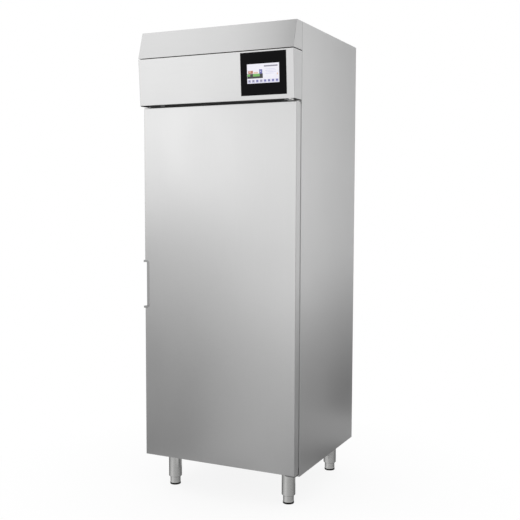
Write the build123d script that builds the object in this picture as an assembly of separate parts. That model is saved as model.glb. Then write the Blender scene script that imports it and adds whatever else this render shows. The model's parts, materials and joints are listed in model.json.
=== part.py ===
from build123d import *

import os
from math import atan2, cos, degrees, hypot, pi, radians, sin, tan

# Dry aging cabinet with one solid door, a machine room behind a folded crown, and four adjustable feet.
# Lengths are in millimetres. X runs to the right as seen from the front, Y to the back and Z up.
# The origin lies on the floor under the middle of the cabinet.

# Whole cabinet
cabinet_width = 750.0
cabinet_height = 2080.0
body_depth = 680.0
leg_height = 152.0
crown_height = 321.0
crown_reach = 91.0

# Sheet steel
shell_sheet = 1.0
liner_sheet = 0.8
bend_radius = 1.5

# Insulated body
wall_thickness = 60.0
ceiling_thickness = 70.0
chamber_corner = 12.0
break_width = 9.0
break_depth = 6.0
rear_return = 22.0
front_lip_rise = 40.0
rail_return = 15.0

# Crown
nose_drop = 117.0
trim_setback = 35.0
panel_setback = 14.0
crown_seam = 4.0
crown_side_seam = 2.0
crown_edge = 2.0
trim_flange = 12.0
panel_flange = 15.0
gusset_sheet = 2.0
gusset_inset = 21.0
gusset_foot = 15.0
gusset_eye = 4.5
panel_pin_radius = 3.0
panel_pin_back = 9.0
panel_pin_drop = 18.0
panel_pin_length = 13.0
ear_sheet = 2.0
ear_gap = 4.0
catch_width = 20.0
catch_inset = 80.0
catch_sheet = 1.5
catch_gap = 0.3
catch_clearance = 2.0
magnet_height = 6.0

# Display
glass_width = 210.0
glass_height = 177.0
glass_thickness = 4.0
glass_from_right = 34.0
glass_rise = 18.0
glass_proud = 0.6
screen_width = 150.0
screen_height = 82.0
screen_thickness = 5.0
screen_from_left = 28.5
screen_rise = 49.5
housing_depth = 38.0
housing_border = 10.0
housing_drop = 20.0
housing_wall = 2.0

# Door
door_side_gap = 2.0
door_top_gap = 9.0
door_rise = 14.5
door_thickness = 40.5
gasket_space = 9.5
door_edge = 2.5
door_lip = 12.0
retainer_width = 30.0
retainer_depth = 4.0
gasket_inset = 16.0
gasket_width = 20.0
gasket_clearance = 0.3
gasket_dart = 3.0
plug_inset = 26.0
plug_depth = 22.0
plug_corner = 10.0
plug_rounding = 6.0

# Door handle
handle_height = 957.0
handle_length = 219.5
handle_cheek = 9.5
handle_notch = 23.5
handle_sheet = 2.0
handle_reach = 7.5
handle_fall = 26.0
handle_tail = 28.0
handle_corner = 15.0
handle_bend = 0.4

# Hinges
hinge_inset = 12.0
hinge_setback = 20.0
hinge_plate = 4.0
hinge_plate_width = 51.0
hinge_plate_nose = 45.0
hinge_leaf_height = 34.0
hinge_foot_height = 19.0
hinge_pin_radius = 6.0
hinge_pin_length = 25.0
hinge_pin_head = 3.0
hinge_running_gap = 0.05
bush_radius = 9.0
bush_flange_radius = 12.0
bush_flange = 1.2
bush_length = 28.0
bush_gap = 0.3

# Legs
leg_side_inset = 83.0
leg_front_inset = 75.0
leg_rear_inset = 91.0
leg_plate = 80.0
leg_plate_thickness = 3.0
sleeve_radius = 30.5
sleeve_wall = 2.0
sleeve_foot_gap = 36.0
sleeve_chamfer = 4.0
boss_length = 54.0
rod_radius = 8.0
rod_top = 128.0
barrel_radius = 24.0
barrel_top = 70.0
pad_radius = 25.0
pad_height = 11.0
pad_floor = 4.0
foot_running_gap = 0.05

# Chamber fittings
upright_width = 25.0
upright_depth = 12.0
upright_sheet = 1.2
upright_front = 90.0
upright_rear = 135.0
upright_end_gap = 20.0
slot_pitch = 50.0
slot_width = 12.0
slot_height = 6.0
runner_leg = 20.0
runner_sheet = 1.5
hook_reach = 1.0
shelf_front = 40.0
shelf_back_gap = 10.0
shelf_side_gap = 2.5
shelf_wire = 4.0
shelf_corner = 15.0
rib_radius = 2.0
rib_spacing = 26.0
bearer_radius = 2.0
weld_depth = 0.2
bearer_inset = 120.0
low_shelf_slot = 4
shelf_slot_step = 7
cradle_height = 36.0
rail_radius = 11.0
rail_wall = 1.5
rail_spacing = 200.0
duct_width = 300.0
duct_depth = 24.0
duct_rise = 60.0
duct_slot_width = 90.0
duct_slot_height = 8.0
duct_slot_pitch = 80.0
vent_width = 340.0
vent_depth = 90.0
vent_front = 300.0
supply_width = 280.0
supply_depth = 18.0
grille_border = 15.0
grille_sheet = 1.2
grille_bar = 5.0
grille_pitch = 10.0
lamp_length = 400.0
lamp_width = 30.0
lamp_height = 14.0
lamp_front = 75.0
probe_radius = 8.0
probe_length = 50.0
probe_cap = 3.0

# Machine room
room_gap = 12.0
compressor_radius = 84.0
compressor_dome = 38.0
compressor_height = 192.0
compressor_side = 145.0
compressor_front = 150.0
compressor_base = 3.0
compressor_base_size = 170.0
mount_radius = 11.0
mount_height = 18.0
mount_waist = 8.0
port_radius = 5.0
port_length = 12.0
port_spread = 40.0
condenser_width = 300.0
condenser_height = 240.0
condenser_thickness = 52.0
condenser_side = 40.0
condenser_front = 30.0
condenser_fins = 30
evaporator_fins = 30
fin_sheet = 0.8
coil_tube_radius = 4.8
coil_columns = 3
coil_rows = 8
coil_plate = 1.5
coil_tube_end = 9.0
shroud_depth = 22.0
shroud_sheet = 1.5
fan_radius = 92.0
fan_gap = 4.0
fan_depth = 24.0
fan_hub_radius = 26.0
fan_blades = 5
blade_sheet = 2.0
blade_pitch = 30.0
motor_radius = 36.0
motor_length = 55.0
motor_shaft_radius = 4.0
motor_gap = 6.0
motor_arm = 8.0
motor_arm_sheet = 3.0
motor_foot = 4.0
housing_width_evaporator = 460.0
housing_wall_evaporator = 25.0
housing_height_evaporator = 265.0
housing_front_evaporator = 265.0
evaporator_width = 370.0
evaporator_height = 170.0
evaporator_thickness = 78.0
evaporator_back_gap = 70.0
partition_sheet = 3.0
partition_gap = 30.0
fan_axis_rise = 134.0
pan_rise = 40.0
pan_height = 22.0
pan_overhang = 12.0
pan_sheet = 1.0
drain_radius = 6.0
drain_wall = 1.0
tray_width = 150.0
tray_depth = 190.0
tray_height = 32.0
tray_sheet = 1.5
tray_corner = 10.0
pipe_radius = 4.0
pipe_wall = 0.8
pipe_bend = 16.0
pipe_ceiling = 45.0
drier_radius = 13.0
drier_length = 110.0
box_width = 105.0
box_depth = 250.0
box_height = 130.0
box_wall = 2.5
gland_hex = 24.0
gland_flange_radius = 14.0
gland_nut = 6.0
gland_thread_radius = 10.0
gland_rise = 60.0
gland_bore_radius = 5.0

# Openings and screws of the casing
louvre_width = 110.0
louvre_height = 6.0
louvre_pitch = 18.0
louvre_spacing = 140.0
louvre_count = 10
roof_drop = 3.0
roof_flange = 20.0
screw_radius = 2.0
screw_head_radius = 4.5
screw_head = 2.4
screw_length = 12.0
screw_edge = 12.0

# Places that follow from the sizes
half_width = cabinet_width / 2
front_y = -(body_depth - crown_reach) / 2
back_y = front_y + body_depth
nose_y = front_y - crown_reach
nose_z = cabinet_height - nose_drop
crown_bottom = cabinet_height - crown_height
deck_z = crown_bottom + shell_sheet
door_front = front_y - gasket_space - door_thickness
door_back = front_y - gasket_space
door_half = half_width - door_side_gap
door_bottom = leg_height + door_rise
door_top = crown_bottom - door_top_gap
chamber_half = half_width - wall_thickness
chamber_floor = leg_height + wall_thickness
chamber_ceiling = deck_z - ceiling_thickness
chamber_back = back_y - wall_thickness
front_return = wall_thickness - break_width
hinge_x = door_half - hinge_inset
hinge_y = door_front + hinge_setback
panel_pin_y = nose_y + panel_pin_back
panel_pin_z = nose_z - panel_pin_drop


def block(x, y, z):
    """Box between a low and a high value along each axis."""
    centre = Pos((x[0] + x[1]) / 2, (y[0] + y[1]) / 2, (z[0] + z[1]) / 2)
    return centre * Box(x[1] - x[0], y[1] - y[0], z[1] - z[0])


def rod(start, end, radius):
    """Round bar from one point to another."""
    axis = Vector(end) - Vector(start)
    return extrude(Plane(start, z_dir=axis) * Circle(radius), amount=axis.length)


def tube(points, radius, wall, bend):
    """Round tube along straight runs joined by arcs."""
    path = FilletPolyline(*points, radius=bend)
    start = Plane(points[0], z_dir=Vector(points[1]) - Vector(points[0]))
    return sweep(start * (Circle(radius) - Circle(radius - wall)), path=path)


def shifted(points, distance):
    """Points of a line moved to its left by distance, with mitred corners."""
    steps = [Vector(*b) - Vector(*a) for a, b in zip(points, points[1:])]
    normals = [Vector(-s.Y, s.X).normalized() for s in steps]
    moves = [normals[0]]
    for before, after in zip(normals, normals[1:]):
        moves.append((before + after) / (1 + before.dot(after)))
    moves.append(normals[-1])
    return [Vector(*p) + m * distance for p, m in zip(points, moves)]


def folded(points, sheet, inner_radius=bend_radius):
    """Section of a folded sheet whose right hand surface runs through points."""
    steps = [Vector(*b) - Vector(*a) for a, b in zip(points, points[1:])]
    right_radii = []
    left_radii = []
    for before, after in zip(steps, steps[1:]):
        turns_left = before.cross(after).Z > 0
        right_radii.append(inner_radius + sheet if turns_left else inner_radius)
        left_radii.append(inner_radius if turns_left else inner_radius + sheet)
    right = FilletPolyline(*points, radius=right_radii)
    left = FilletPolyline(*shifted(points, sheet), radius=left_radii)
    ends = [Line(right @ 0, left @ 0), Line(right @ 1, left @ 1)]
    return make_face([right, left] + ends)


def polygon(points):
    """Flat face with straight sides through points."""
    return make_face(Polyline(*points, close=True))


def along_x(section, low, high):
    """Solid from a section drawn in Y and Z, between two values of X."""
    return Pos(low, 0, 0) * extrude(Plane.YZ * section, amount=high - low)


def along_y(section, low, high):
    """Solid from a section drawn in X and Z, between two values of Y."""
    return Pos(0, high, 0) * extrude(Plane.XZ * section, amount=high - low)


def along_z(section, low, high):
    """Solid from a section drawn in X and Y, between two values of Z."""
    return Pos(0, 0, low) * extrude(section, amount=high - low)


def ring(outer, inner, low, high):
    """Rectangular frame in X and Z, given as (half width, bottom, top), between two values of Y."""
    solid = block((-outer[0], outer[0]), (low, high), (outer[1], outer[2]))
    return solid - block((-inner[0], inner[0]), (low - 1, high + 1), (inner[1], inner[2]))


def mirrored(solid):
    """The solid and its mirror image on the other side of the cabinet."""
    return solid + mirror(solid, about=Plane.YZ)


def joined(solids):
    """One solid from several that touch or overlap."""
    return solids[0] + solids[1:]


def parallel_edges(solid, axis):
    """Straight edges of a solid along an axis."""
    return solid.edges().filter_by(axis)


def screw(place, direction):
    """Round headed screw: head against the sheet at place, shank along direction."""
    face = Plane(place, z_dir=direction)
    shank = extrude(face * Circle(screw_radius), amount=screw_length)
    head = extrude(face * Circle(screw_head_radius), amount=-screw_head)
    crown_edges = head.edges().filter_by(GeomType.CIRCLE).sort_by(Axis(place, direction))
    head = fillet(crown_edges[0], screw_head / 2)
    return head + shank


# Casing


def side_panel():
    """Right side panel with a front return that the gasket meets and a rear return."""
    points = [
        (half_width - front_return, front_y),
        (half_width, front_y),
        (half_width, back_y),
        (half_width - rear_return, back_y),
    ]
    return along_z(folded(points, shell_sheet), leg_height, cabinet_height)


def rear_screw_places():
    """Places of the screws round the back panel and the machine room grille."""
    x = half_width - rear_return + screw_edge - shell_sheet
    places = []
    rows = [leg_height + 40, (leg_height + deck_z) / 2, deck_z - 40, deck_z + 40, cabinet_height - 40]
    for side in (-1, 1):
        for z in rows:
            places.append((side * x, back_y, z))
    return places


def hinge_screw_places():
    """Places of the screws through the leaves of the two hinge brackets."""
    x_low = half_width - door_side_gap - hinge_plate_width + screw_edge
    x_high = hinge_x - screw_edge
    top = plate_top_z() + hinge_leaf_height - screw_edge
    bottom = bottom_plate_z() + hinge_plate + (hinge_foot_height - hinge_plate) / 2
    y = front_y - hinge_plate
    return [(x, y, z) for x in (x_low, x_high) for z in (top, bottom)]


def plate_top_z():
    """Height of the upper surface of the top hinge plate."""
    return door_top + bush_flange + bush_gap + hinge_plate


def bottom_plate_z():
    """Height of the lower surface of the bottom hinge plate."""
    return door_bottom - bush_flange - bush_gap - hinge_plate


def body_screws():
    """Screws of the rear panels and of the hinge brackets, as separate solids."""
    solids = [screw(place, (0, -1, 0)) for place in rear_screw_places()]
    solids += [screw(place, (0, 1, 0)) for place in hinge_screw_places()]
    return solids


def back_panel():
    """Flat sheet inside the rear returns of the side panels."""
    x = half_width - shell_sheet - bend_radius
    y = back_y - shell_sheet
    return block((-x, x), (y - shell_sheet, y), (leg_height, deck_z)) - body_screws()


def bottom_panel():
    """Underside sheet, turned up at the front as the lower rail and at the back."""
    y_back = back_y - 2 * shell_sheet
    points = [
        (front_y, leg_height + front_return),
        (front_y, leg_height),
        (y_back, leg_height),
        (y_back, leg_height + rail_return),
    ]
    x = half_width - front_return
    sheet = along_x(folded(points, shell_sheet), -x, x)
    bend = shell_sheet + bend_radius
    wing_y = (front_y + bend, back_y - bend)
    wing = block((x, half_width - shell_sheet), wing_y, (leg_height, leg_height + shell_sheet))
    return sheet + mirrored(wing)


def top_front_rail():
    """Rail above the door opening, with a return at its top."""
    top = deck_z + front_lip_rise
    points = [
        (front_y + rail_return, top),
        (front_y, top),
        (front_y, chamber_ceiling + break_width),
    ]
    x = half_width - front_return
    return along_x(folded(points, shell_sheet), -x, x)


def door_opening(grow, corner):
    """Section of the door opening in X and Z, grown on every side."""
    height = chamber_ceiling - chamber_floor + 2 * grow
    place = Pos(0, (chamber_ceiling + chamber_floor) / 2)
    if corner:
        return place * RectangleRounded(2 * (chamber_half + grow), height, corner)
    return place * Rectangle(2 * (chamber_half + grow), height)


def thermal_break_frame():
    """Plastic frame between the outer sheet and the liner, round the door opening."""
    section = door_opening(break_width, 0) - door_opening(0, chamber_corner)
    return along_y(section, front_y, front_y + break_depth)


def chamber_block(grow, front):
    """Rounded block the size of the chamber, grown by the liner's sheet or by nothing."""
    x = chamber_half + grow
    solid = block((-x, x), (front, chamber_back + grow), (chamber_floor - grow, chamber_ceiling + grow))
    at_front = solid.faces().sort_by(Axis.Y)[0].edges()
    others = [e for e in solid.edges() if all((e.center() - f.center()).length > 1e-3 for f in at_front)]
    return fillet(others, chamber_corner + grow)


def vent_cut(low, high):
    """Air passages through the ceiling: return at the front, supply above the duct."""
    y = front_y + vent_front
    back = block((-vent_width / 2, vent_width / 2), (y, y + vent_depth), (low, high))
    supply_y = chamber_back - (duct_depth + supply_depth) / 2
    supply = block((-supply_width / 2, supply_width / 2), (supply_y, supply_y + supply_depth), (low, high))
    return back + supply


def inner_liner():
    """Stainless liner of the chamber with rounded corners."""
    shell = chamber_block(liner_sheet, front_y + break_depth)
    shell -= chamber_block(0, front_y + break_depth - 1)
    return shell - vent_cut(chamber_ceiling - 1, deck_z)


def wall_foam():
    """Insulation between the outer sheets and the liner."""
    x = half_width - shell_sheet
    y = (front_y + shell_sheet, back_y - 2 * shell_sheet)
    foam = block((-x, x), y, (leg_height + shell_sheet, deck_z - shell_sheet))
    foam -= chamber_block(liner_sheet, front_y + break_depth)
    foam -= chamber_block(0, front_y - 1)
    foam -= vent_cut(chamber_ceiling, deck_z)
    foam -= mirrored(side_panel())
    foam -= [bottom_panel(), top_front_rail(), thermal_break_frame()]
    return foam - body_screws()


def machine_deck():
    """Floor sheet of the machine room, over the ceiling insulation."""
    x = half_width - shell_sheet
    y = (front_y + shell_sheet, back_y - 2 * shell_sheet)
    deck = block((-x, x), y, (deck_z - shell_sheet, deck_z))
    return deck - vent_cut(chamber_ceiling, deck_z + 1) - mirrored(side_panel())


def machine_rear_grille():
    """Rear cover of the machine room with three columns of louvres."""
    x = half_width - shell_sheet - bend_radius
    y = back_y - shell_sheet
    top = cabinet_height - roof_drop - shell_sheet
    sheet = block((-x, x), (y - shell_sheet, y), (deck_z, top))
    first = (deck_z + top) / 2 - louvre_pitch * (louvre_count - 1) / 2
    slots = []
    for column in range(3):
        for row in range(louvre_count):
            place = Pos(louvre_spacing * column, first + row * louvre_pitch)
            slots.append(along_y(place * SlotOverall(louvre_width, louvre_height), y - 5, y + 5))
    gland_hole = along_y(Pos(gland_x(), deck_z + gland_rise) * Circle(gland_thread_radius), y - 5, y + 5)
    return sheet - slots - gland_hole - body_screws()


def gland_x():
    """Place of the cable gland across the rear grille."""
    return -(half_width - wall_thickness - gland_hex)


def roof():
    """Cover of the machine room, set down between the side panels, with vents in the middle."""
    x = half_width - shell_sheet
    top = cabinet_height - roof_drop
    points = [(x, top - roof_flange), (x, top), (-x, top), (-x, top - roof_flange)]
    bend = shell_sheet + bend_radius
    sheet = along_y(folded(points, shell_sheet), front_y + bend, back_y - bend)
    slots = []
    for row in range(louvre_count):
        place = Pos(0, row * louvre_pitch)
        slots.append(along_z(place * SlotOverall(2 * louvre_width, louvre_height), top - 5, top + 5))
    return sheet - slots


# Crown


def crown_shell(outline, hollow_outline):
    """Folded sheet cover with its outline and its hollow drawn in Y and Z."""
    solid = along_x(polygon(outline), -half_width, half_width)
    x = half_width - shell_sheet
    hollow = along_x(polygon(hollow_outline), -x, x)
    return fillet(front_edges(solid), crown_edge) - fillet(front_edges(hollow), crown_edge - shell_sheet)


def front_edges(solid):
    """The two long edges between the leaning front of a crown cover and its sides."""
    limit = front_y - crown_side_seam - 2 * shell_sheet
    steep = [e for e in solid.edges() if abs(e.tangent_at(0.5).Z) > 0.5 and e.center().Y < limit]
    return sorted(steep, key=lambda e: -e.length)[:2]


def slant(sheet, run, rise):
    """Thickness of a leaning sheet measured level."""
    return sheet * hypot(run, rise) / rise


def trim_y(z):
    """Front surface of the crown trim at a height."""
    return nose_y + trim_setback * (z - nose_z) / nose_drop


def crown_trim():
    """Upper part of the crown, which leans back from the nose to the top edge."""
    back = front_y - crown_side_seam
    outline = [
        (nose_y, nose_z),
        (trim_y(cabinet_height), cabinet_height),
        (back, cabinet_height),
        (back, nose_z),
    ]
    s = slant(shell_sheet, trim_setback, nose_drop)
    low = nose_z + shell_sheet
    high = cabinet_height - shell_sheet
    hollow = [
        (nose_y + trim_flange, nose_z - 5),
        (nose_y + trim_flange, low),
        (trim_y(low) + s, low),
        (trim_y(high) + s, high),
        (back + 5, high),
        (back + 5, nose_z - 5),
    ]
    x = half_width - shell_sheet
    tongue = block((-x, x), (back, front_y), (cabinet_height - shell_sheet, cabinet_height))
    return crown_shell(outline, hollow) + tongue


def panel_y(z):
    """Front surface of the control panel at a height."""
    return nose_y + panel_setback * (nose_z - z) / (nose_z - crown_bottom)


def panel_angle():
    """Angle between the control panel and the vertical, in degrees."""
    return degrees(atan2(panel_setback, nose_z - crown_bottom))


def panel_frame(x, along, out=0.0):
    """Plane on the control panel's face: x across, a distance up the slope from its bottom edge."""
    up = Vector(0, -sin(radians(panel_angle())), cos(radians(panel_angle())))
    outward = Vector(0, -up.Z, up.Y)
    place = Vector(x, panel_y(crown_bottom), crown_bottom) + up * along + outward * out
    return Plane(place, x_dir=(1, 0, 0), z_dir=outward)


def glass_centre():
    """Middle of the display glass: across, and up the slope."""
    return half_width - glass_from_right - glass_width / 2, glass_rise + glass_height / 2


def control_panel():
    """Lower part of the crown: a service flap with side returns, a bottom flange and two pin ears."""
    top = nose_z - crown_seam
    back = front_y - crown_side_seam
    outline = [
        (panel_y(top), top),
        (panel_y(crown_bottom), crown_bottom),
        (back, crown_bottom),
        (back, top),
    ]
    s = slant(shell_sheet, panel_setback, nose_z - crown_bottom)
    low = crown_bottom + shell_sheet
    flange_end = panel_y(crown_bottom) + panel_flange
    hollow = [
        (panel_y(top + 5) + s, top + 5),
        (panel_y(low) + s, low),
        (flange_end, low),
        (flange_end, crown_bottom - 5),
        (back + 5, crown_bottom - 5),
        (back + 5, top + 5),
    ]
    shell = crown_shell(outline, hollow)
    reach = gusset_eye + ear_sheet
    corners = [
        (panel_y(panel_pin_z + reach) + s / 2, panel_pin_z + reach),
        (panel_pin_y + reach, panel_pin_z + reach),
        (panel_pin_y + reach, panel_pin_z - reach),
        (panel_y(panel_pin_z - 4 * reach) + s / 2, panel_pin_z - 4 * reach),
    ]
    ear = polygon(corners) - Pos(panel_pin_y, panel_pin_z) * Circle(panel_pin_radius + hinge_running_gap)
    ear_x = half_width - gusset_inset - gusset_sheet - ear_gap
    shell += mirrored(along_x(ear, ear_x - ear_sheet, ear_x))
    centre = glass_centre()
    seat = panel_frame(centre[0], centre[1], glass_proud) * Rectangle(glass_width, glass_height)
    return shell - extrude(seat, amount=-glass_thickness)


def display_glass():
    """Black glass let into the control panel, with softened edges."""
    centre = glass_centre()
    face = panel_frame(centre[0], centre[1], glass_proud) * Rectangle(glass_width, glass_height)
    glass = extrude(face, amount=-glass_thickness)
    return chamfer(glass.faces().sort_by(Axis.Y)[0].edges(), glass_proud / 2)


def screen_centre():
    """Middle of the screen: across, and up the slope."""
    left = half_width - glass_from_right - glass_width
    return left + screen_from_left + screen_width / 2, glass_rise + screen_rise + screen_height / 2


def display_screen():
    """Screen module bonded behind the glass."""
    centre = screen_centre()
    back = glass_proud - glass_thickness
    face = panel_frame(centre[0], centre[1], back) * Rectangle(screen_width, screen_height)
    return extrude(face, amount=-screen_thickness)


def display_housing():
    """Plastic box behind the glass that holds the screen and the controller."""
    centre = glass_centre()
    width = glass_width - 2 * housing_border
    height = glass_height - 2 * housing_drop
    frame = panel_frame(centre[0], centre[1], glass_proud - glass_thickness)
    outer = extrude(frame * RectangleRounded(width, height, 3 * housing_wall), amount=-housing_depth)
    mouth = frame * RectangleRounded(width - 2 * housing_wall, height - 2 * housing_wall, 2 * housing_wall)
    return outer - extrude(mouth, amount=-(housing_depth - housing_wall))


def panel_gusset():
    """Right hand gusset: foot on the body, arm to the flap's pin, and support under the crown's top."""
    x = half_width - gusset_inset
    roof_z = cabinet_height - shell_sheet
    sweep_edge = panel_pin_y + panel_pin_drop + panel_pin_radius
    arm = gusset_eye - gusset_sheet / 2
    outline = [
        (front_y, panel_pin_z - 2 * panel_pin_drop),
        (front_y, roof_z),
        (trim_y(roof_z) + 2 * trim_flange, roof_z),
        (sweep_edge, nose_z),
        (sweep_edge, panel_pin_z + arm),
        (panel_pin_y, panel_pin_z + arm),
        (panel_pin_y, panel_pin_z - gusset_eye),
        (sweep_edge, panel_pin_z - panel_pin_drop / 2),
    ]
    section = polygon(outline) + Pos(panel_pin_y, panel_pin_z) * Circle(gusset_eye)
    plate = along_x(section, x - gusset_sheet, x)
    foot_x = (x - gusset_sheet - gusset_foot, x)
    foot = block(foot_x, (front_y - gusset_sheet, front_y), (panel_pin_z - 2 * panel_pin_drop, roof_z))
    pin_end = x - gusset_sheet - panel_pin_length
    pin = along_x(Pos(panel_pin_y, panel_pin_z) * Circle(panel_pin_radius), pin_end, x)
    return plate + foot + pin


def flap_catch():
    """Right hand magnet catch that holds the flap's bottom flange."""
    x = half_width - catch_inset
    x = (x, x + catch_width)
    low = crown_bottom + shell_sheet + catch_gap
    arm_z = low + magnet_height
    reach = panel_y(crown_bottom) + shell_sheet + catch_clearance
    arm = block(x, (reach, front_y), (arm_z, arm_z + catch_sheet))
    arm += block(x, (front_y - catch_sheet, front_y), (arm_z, arm_z + panel_flange))
    end = panel_y(crown_bottom) + panel_flange
    return arm + block(x, (reach, end), (low, arm_z))


def panel_brackets():
    """Two gussets that carry the crown and the flap's pins, and two magnet catches."""
    pieces = [panel_gusset(), flap_catch()]
    return pieces + [mirror(piece, about=Plane.YZ) for piece in pieces]


# Door


def handle_envelope(grow=0):
    """Space in the door's free edge that the handle fills, ears included, grown into the door by a wall."""
    left = -door_half - handle_reach
    inner = -door_half + handle_notch + grow
    lip = -door_half + door_lip + grow
    corner = handle_corner + grow
    length = handle_length + 2 * grow
    middle = (left + inner) / 2
    width = inner - left
    face = Pos(middle - corner, handle_height) * Rectangle(width + 2 * corner, length)
    face = fillet(face.vertices().group_by(Axis.X)[-1], corner)
    face = face & (Pos(middle, handle_height) * Rectangle(width, length))
    plan = polygon([
        (left, door_front),
        (inner, door_front),
        (lip, door_back),
        (-door_half, door_back),
        (left, door_front + handle_tail),
    ])
    return along_y(face, door_front, door_back) & along_z(plan, door_bottom, door_top)


def door_handle():
    """Recessed pull: a sloping flap gripped from behind, its inner wall and two end cheeks."""
    left = -door_half - handle_reach
    inner = -door_half + handle_notch
    lip = -door_half + door_lip
    reach = handle_length / 2 - handle_cheek
    path = [(left, door_front + handle_fall), (inner, door_front), (lip, door_back)]
    flap = folded(path, handle_sheet, handle_bend)
    space = polygon([
        (left - 1, door_front - 1),
        (inner + 1, door_front - 1),
        (inner + 1, door_back + 1),
        (left - 1, door_back + 1),
    ])
    return handle_envelope() - along_z(space - flap, handle_height - reach, handle_height + reach)


def bush_places():
    """Places and directions of the two hinge bushes: top then bottom."""
    return [(Vector(hinge_x, hinge_y, door_top), -1), (Vector(hinge_x, hinge_y, door_bottom), 1)]


def door_bushes():
    """Plastic bushes pressed into the top and the bottom of the door."""
    solids = []
    for place, inward in bush_places():
        plane = Plane(place, z_dir=(0, 0, inward))
        sleeve = extrude(plane * Circle(bush_radius), amount=bush_length)
        sleeve += extrude(plane * Circle(bush_flange_radius), amount=-bush_flange)
        mouth = plane.offset(-bush_flange) * Circle(hinge_pin_radius + hinge_running_gap)
        solids.append(sleeve - extrude(mouth, amount=bush_flange + hinge_pin_length + bush_flange))
    return solids


def bush_cuts():
    """Round holes that the bushes fill."""
    planes = [Plane(place, z_dir=(0, 0, inward)) for place, inward in bush_places()]
    return [extrude(plane * Circle(bush_radius), amount=bush_length) for plane in planes]


def door_skin():
    """Front sheet of the door, folded round its four edges, with lips at the back and a pocket for the handle."""
    outer = frame_inside(0, door_front, door_back)
    outer = fillet(outer.faces().sort_by(Axis.Y)[0].edges(), door_edge)
    inner = frame_inside(shell_sheet, door_front + shell_sheet, door_back - shell_sheet)
    inner = fillet(inner.faces().sort_by(Axis.Y)[0].edges(), door_edge - shell_sheet)
    mouth = frame_inside(door_lip, door_back - 2 * shell_sheet, door_back + 1)
    pocket = outer & handle_envelope(shell_sheet)
    return outer - inner - mouth + pocket - handle_envelope() - bush_cuts()


def frame_inside(inset, low, high):
    """Block inset from the door's four edges, between two values of Y."""
    x = door_half - inset
    return block((-x, x), (low, high), (door_bottom + inset, door_top - inset))


def dart_ring():
    """Ring that the gasket's dart fills in the retainer."""
    middle = gasket_inset + gasket_width / 2
    half = gasket_dart / 2
    outer = frame_inside(middle - half, door_back - gasket_dart, door_back)
    return outer - frame_inside(middle + half, door_back - gasket_dart - 1, door_back + 1)


def gasket_retainer():
    """Plastic profile round the back of the door, with a groove for the gasket."""
    outer = frame_inside(door_lip, door_back - retainer_depth, door_back)
    inner = frame_inside(door_lip + retainer_width, door_back - retainer_depth - 1, door_back + 1)
    return outer - inner - dart_ring() - handle_envelope(shell_sheet)


def door_gasket():
    """Magnetic gasket with its dart in the retainer."""
    face = front_y - gasket_clearance
    outer = frame_inside(gasket_inset, door_back, face)
    outer = fillet(parallel_edges(outer, Axis.Y), gasket_width / 4)
    outer = fillet(outer.faces().sort_by(Axis.Y)[-1].edges(), gasket_space / 4)
    inner = frame_inside(gasket_inset + gasket_width, door_back - 1, face + 1)
    return outer - inner + dart_ring()


def plug_block(shrink, start, end):
    """Raised middle of the door's inner liner, rounded towards the chamber, between two values of Y."""
    inset = door_lip + retainer_width + plug_inset + shrink
    x = door_half - inset
    z = (door_bottom + inset, door_top - inset)
    section = Pos(0, (z[0] + z[1]) / 2) * RectangleRounded(2 * x, z[1] - z[0], plug_corner - shrink)
    solid = along_y(section, start, end)
    return fillet(solid.faces().sort_by(Axis.Y)[-1].edges(), plug_rounding - shrink)


def door_liner():
    """Inner sheet of the door with a raised middle that enters the chamber."""
    flat = frame_inside(door_lip + retainer_width, door_back - liner_sheet, door_back)
    return flat + plug_block(0, door_back - liner_sheet, door_back + plug_depth) - plug_void()


def plug_void():
    """Inside of the raised middle, filled with insulation."""
    return plug_block(liner_sheet, door_back - 2 * liner_sheet, door_back + plug_depth - liner_sheet)


def door_foam():
    """Insulation that fills the door."""
    foam = frame_inside(shell_sheet, door_front + shell_sheet, door_back) + plug_void()
    foam -= [door_skin(), gasket_retainer(), dart_ring(), door_liner(), handle_envelope(shell_sheet)]
    return foam - bush_cuts()


# Hinges


def hinge_bracket(low, leaf_top):
    """Angle bracket on the front of the body, from the underside of its plate to the top of its leaf."""
    x = (half_width - door_side_gap - hinge_plate_width, half_width - door_side_gap)
    plate = block(x, (front_y - hinge_plate_nose, front_y), (low, low + hinge_plate))
    plate = fillet(parallel_edges(plate, Axis.Z).sort_by(Axis.Y)[:2], hinge_plate_width / 4)
    return plate + block(x, (front_y - hinge_plate, front_y), (low, leaf_top)) - hinge_screws()


def top_hinge():
    """Top bracket with a headed pin into the top of the door."""
    top = plate_top_z()
    bracket = hinge_bracket(top - hinge_plate, top + hinge_leaf_height)
    pin = rod((hinge_x, hinge_y, door_top - hinge_pin_length), (hinge_x, hinge_y, top), hinge_pin_radius)
    head = rod((hinge_x, hinge_y, top), (hinge_x, hinge_y, top + hinge_pin_head), hinge_pin_radius + 1)
    head = fillet(head.edges().filter_by(GeomType.CIRCLE).sort_by(Axis.Z)[-1], hinge_pin_head / 2)
    return bracket + pin + head


def bottom_hinge():
    """Bottom bracket with the pin that carries the door."""
    low = bottom_plate_z()
    bracket = hinge_bracket(low, low + hinge_foot_height)
    pin = rod((hinge_x, hinge_y, low), (hinge_x, hinge_y, door_bottom + hinge_pin_length), hinge_pin_radius)
    return bracket + pin


def hinge_screws():
    """Screws of the hinge brackets alone."""
    return [screw(place, (0, 1, 0)) for place in hinge_screw_places()]


# Legs


def leg_places():
    """Name and place of each leg."""
    x = half_width - leg_side_inset
    front = front_y + leg_front_inset
    rear = back_y - leg_rear_inset
    return {
        "front_left": (-x, front),
        "front_right": (x, front),
        "rear_left": (-x, rear),
        "rear_right": (x, rear),
    }


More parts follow.
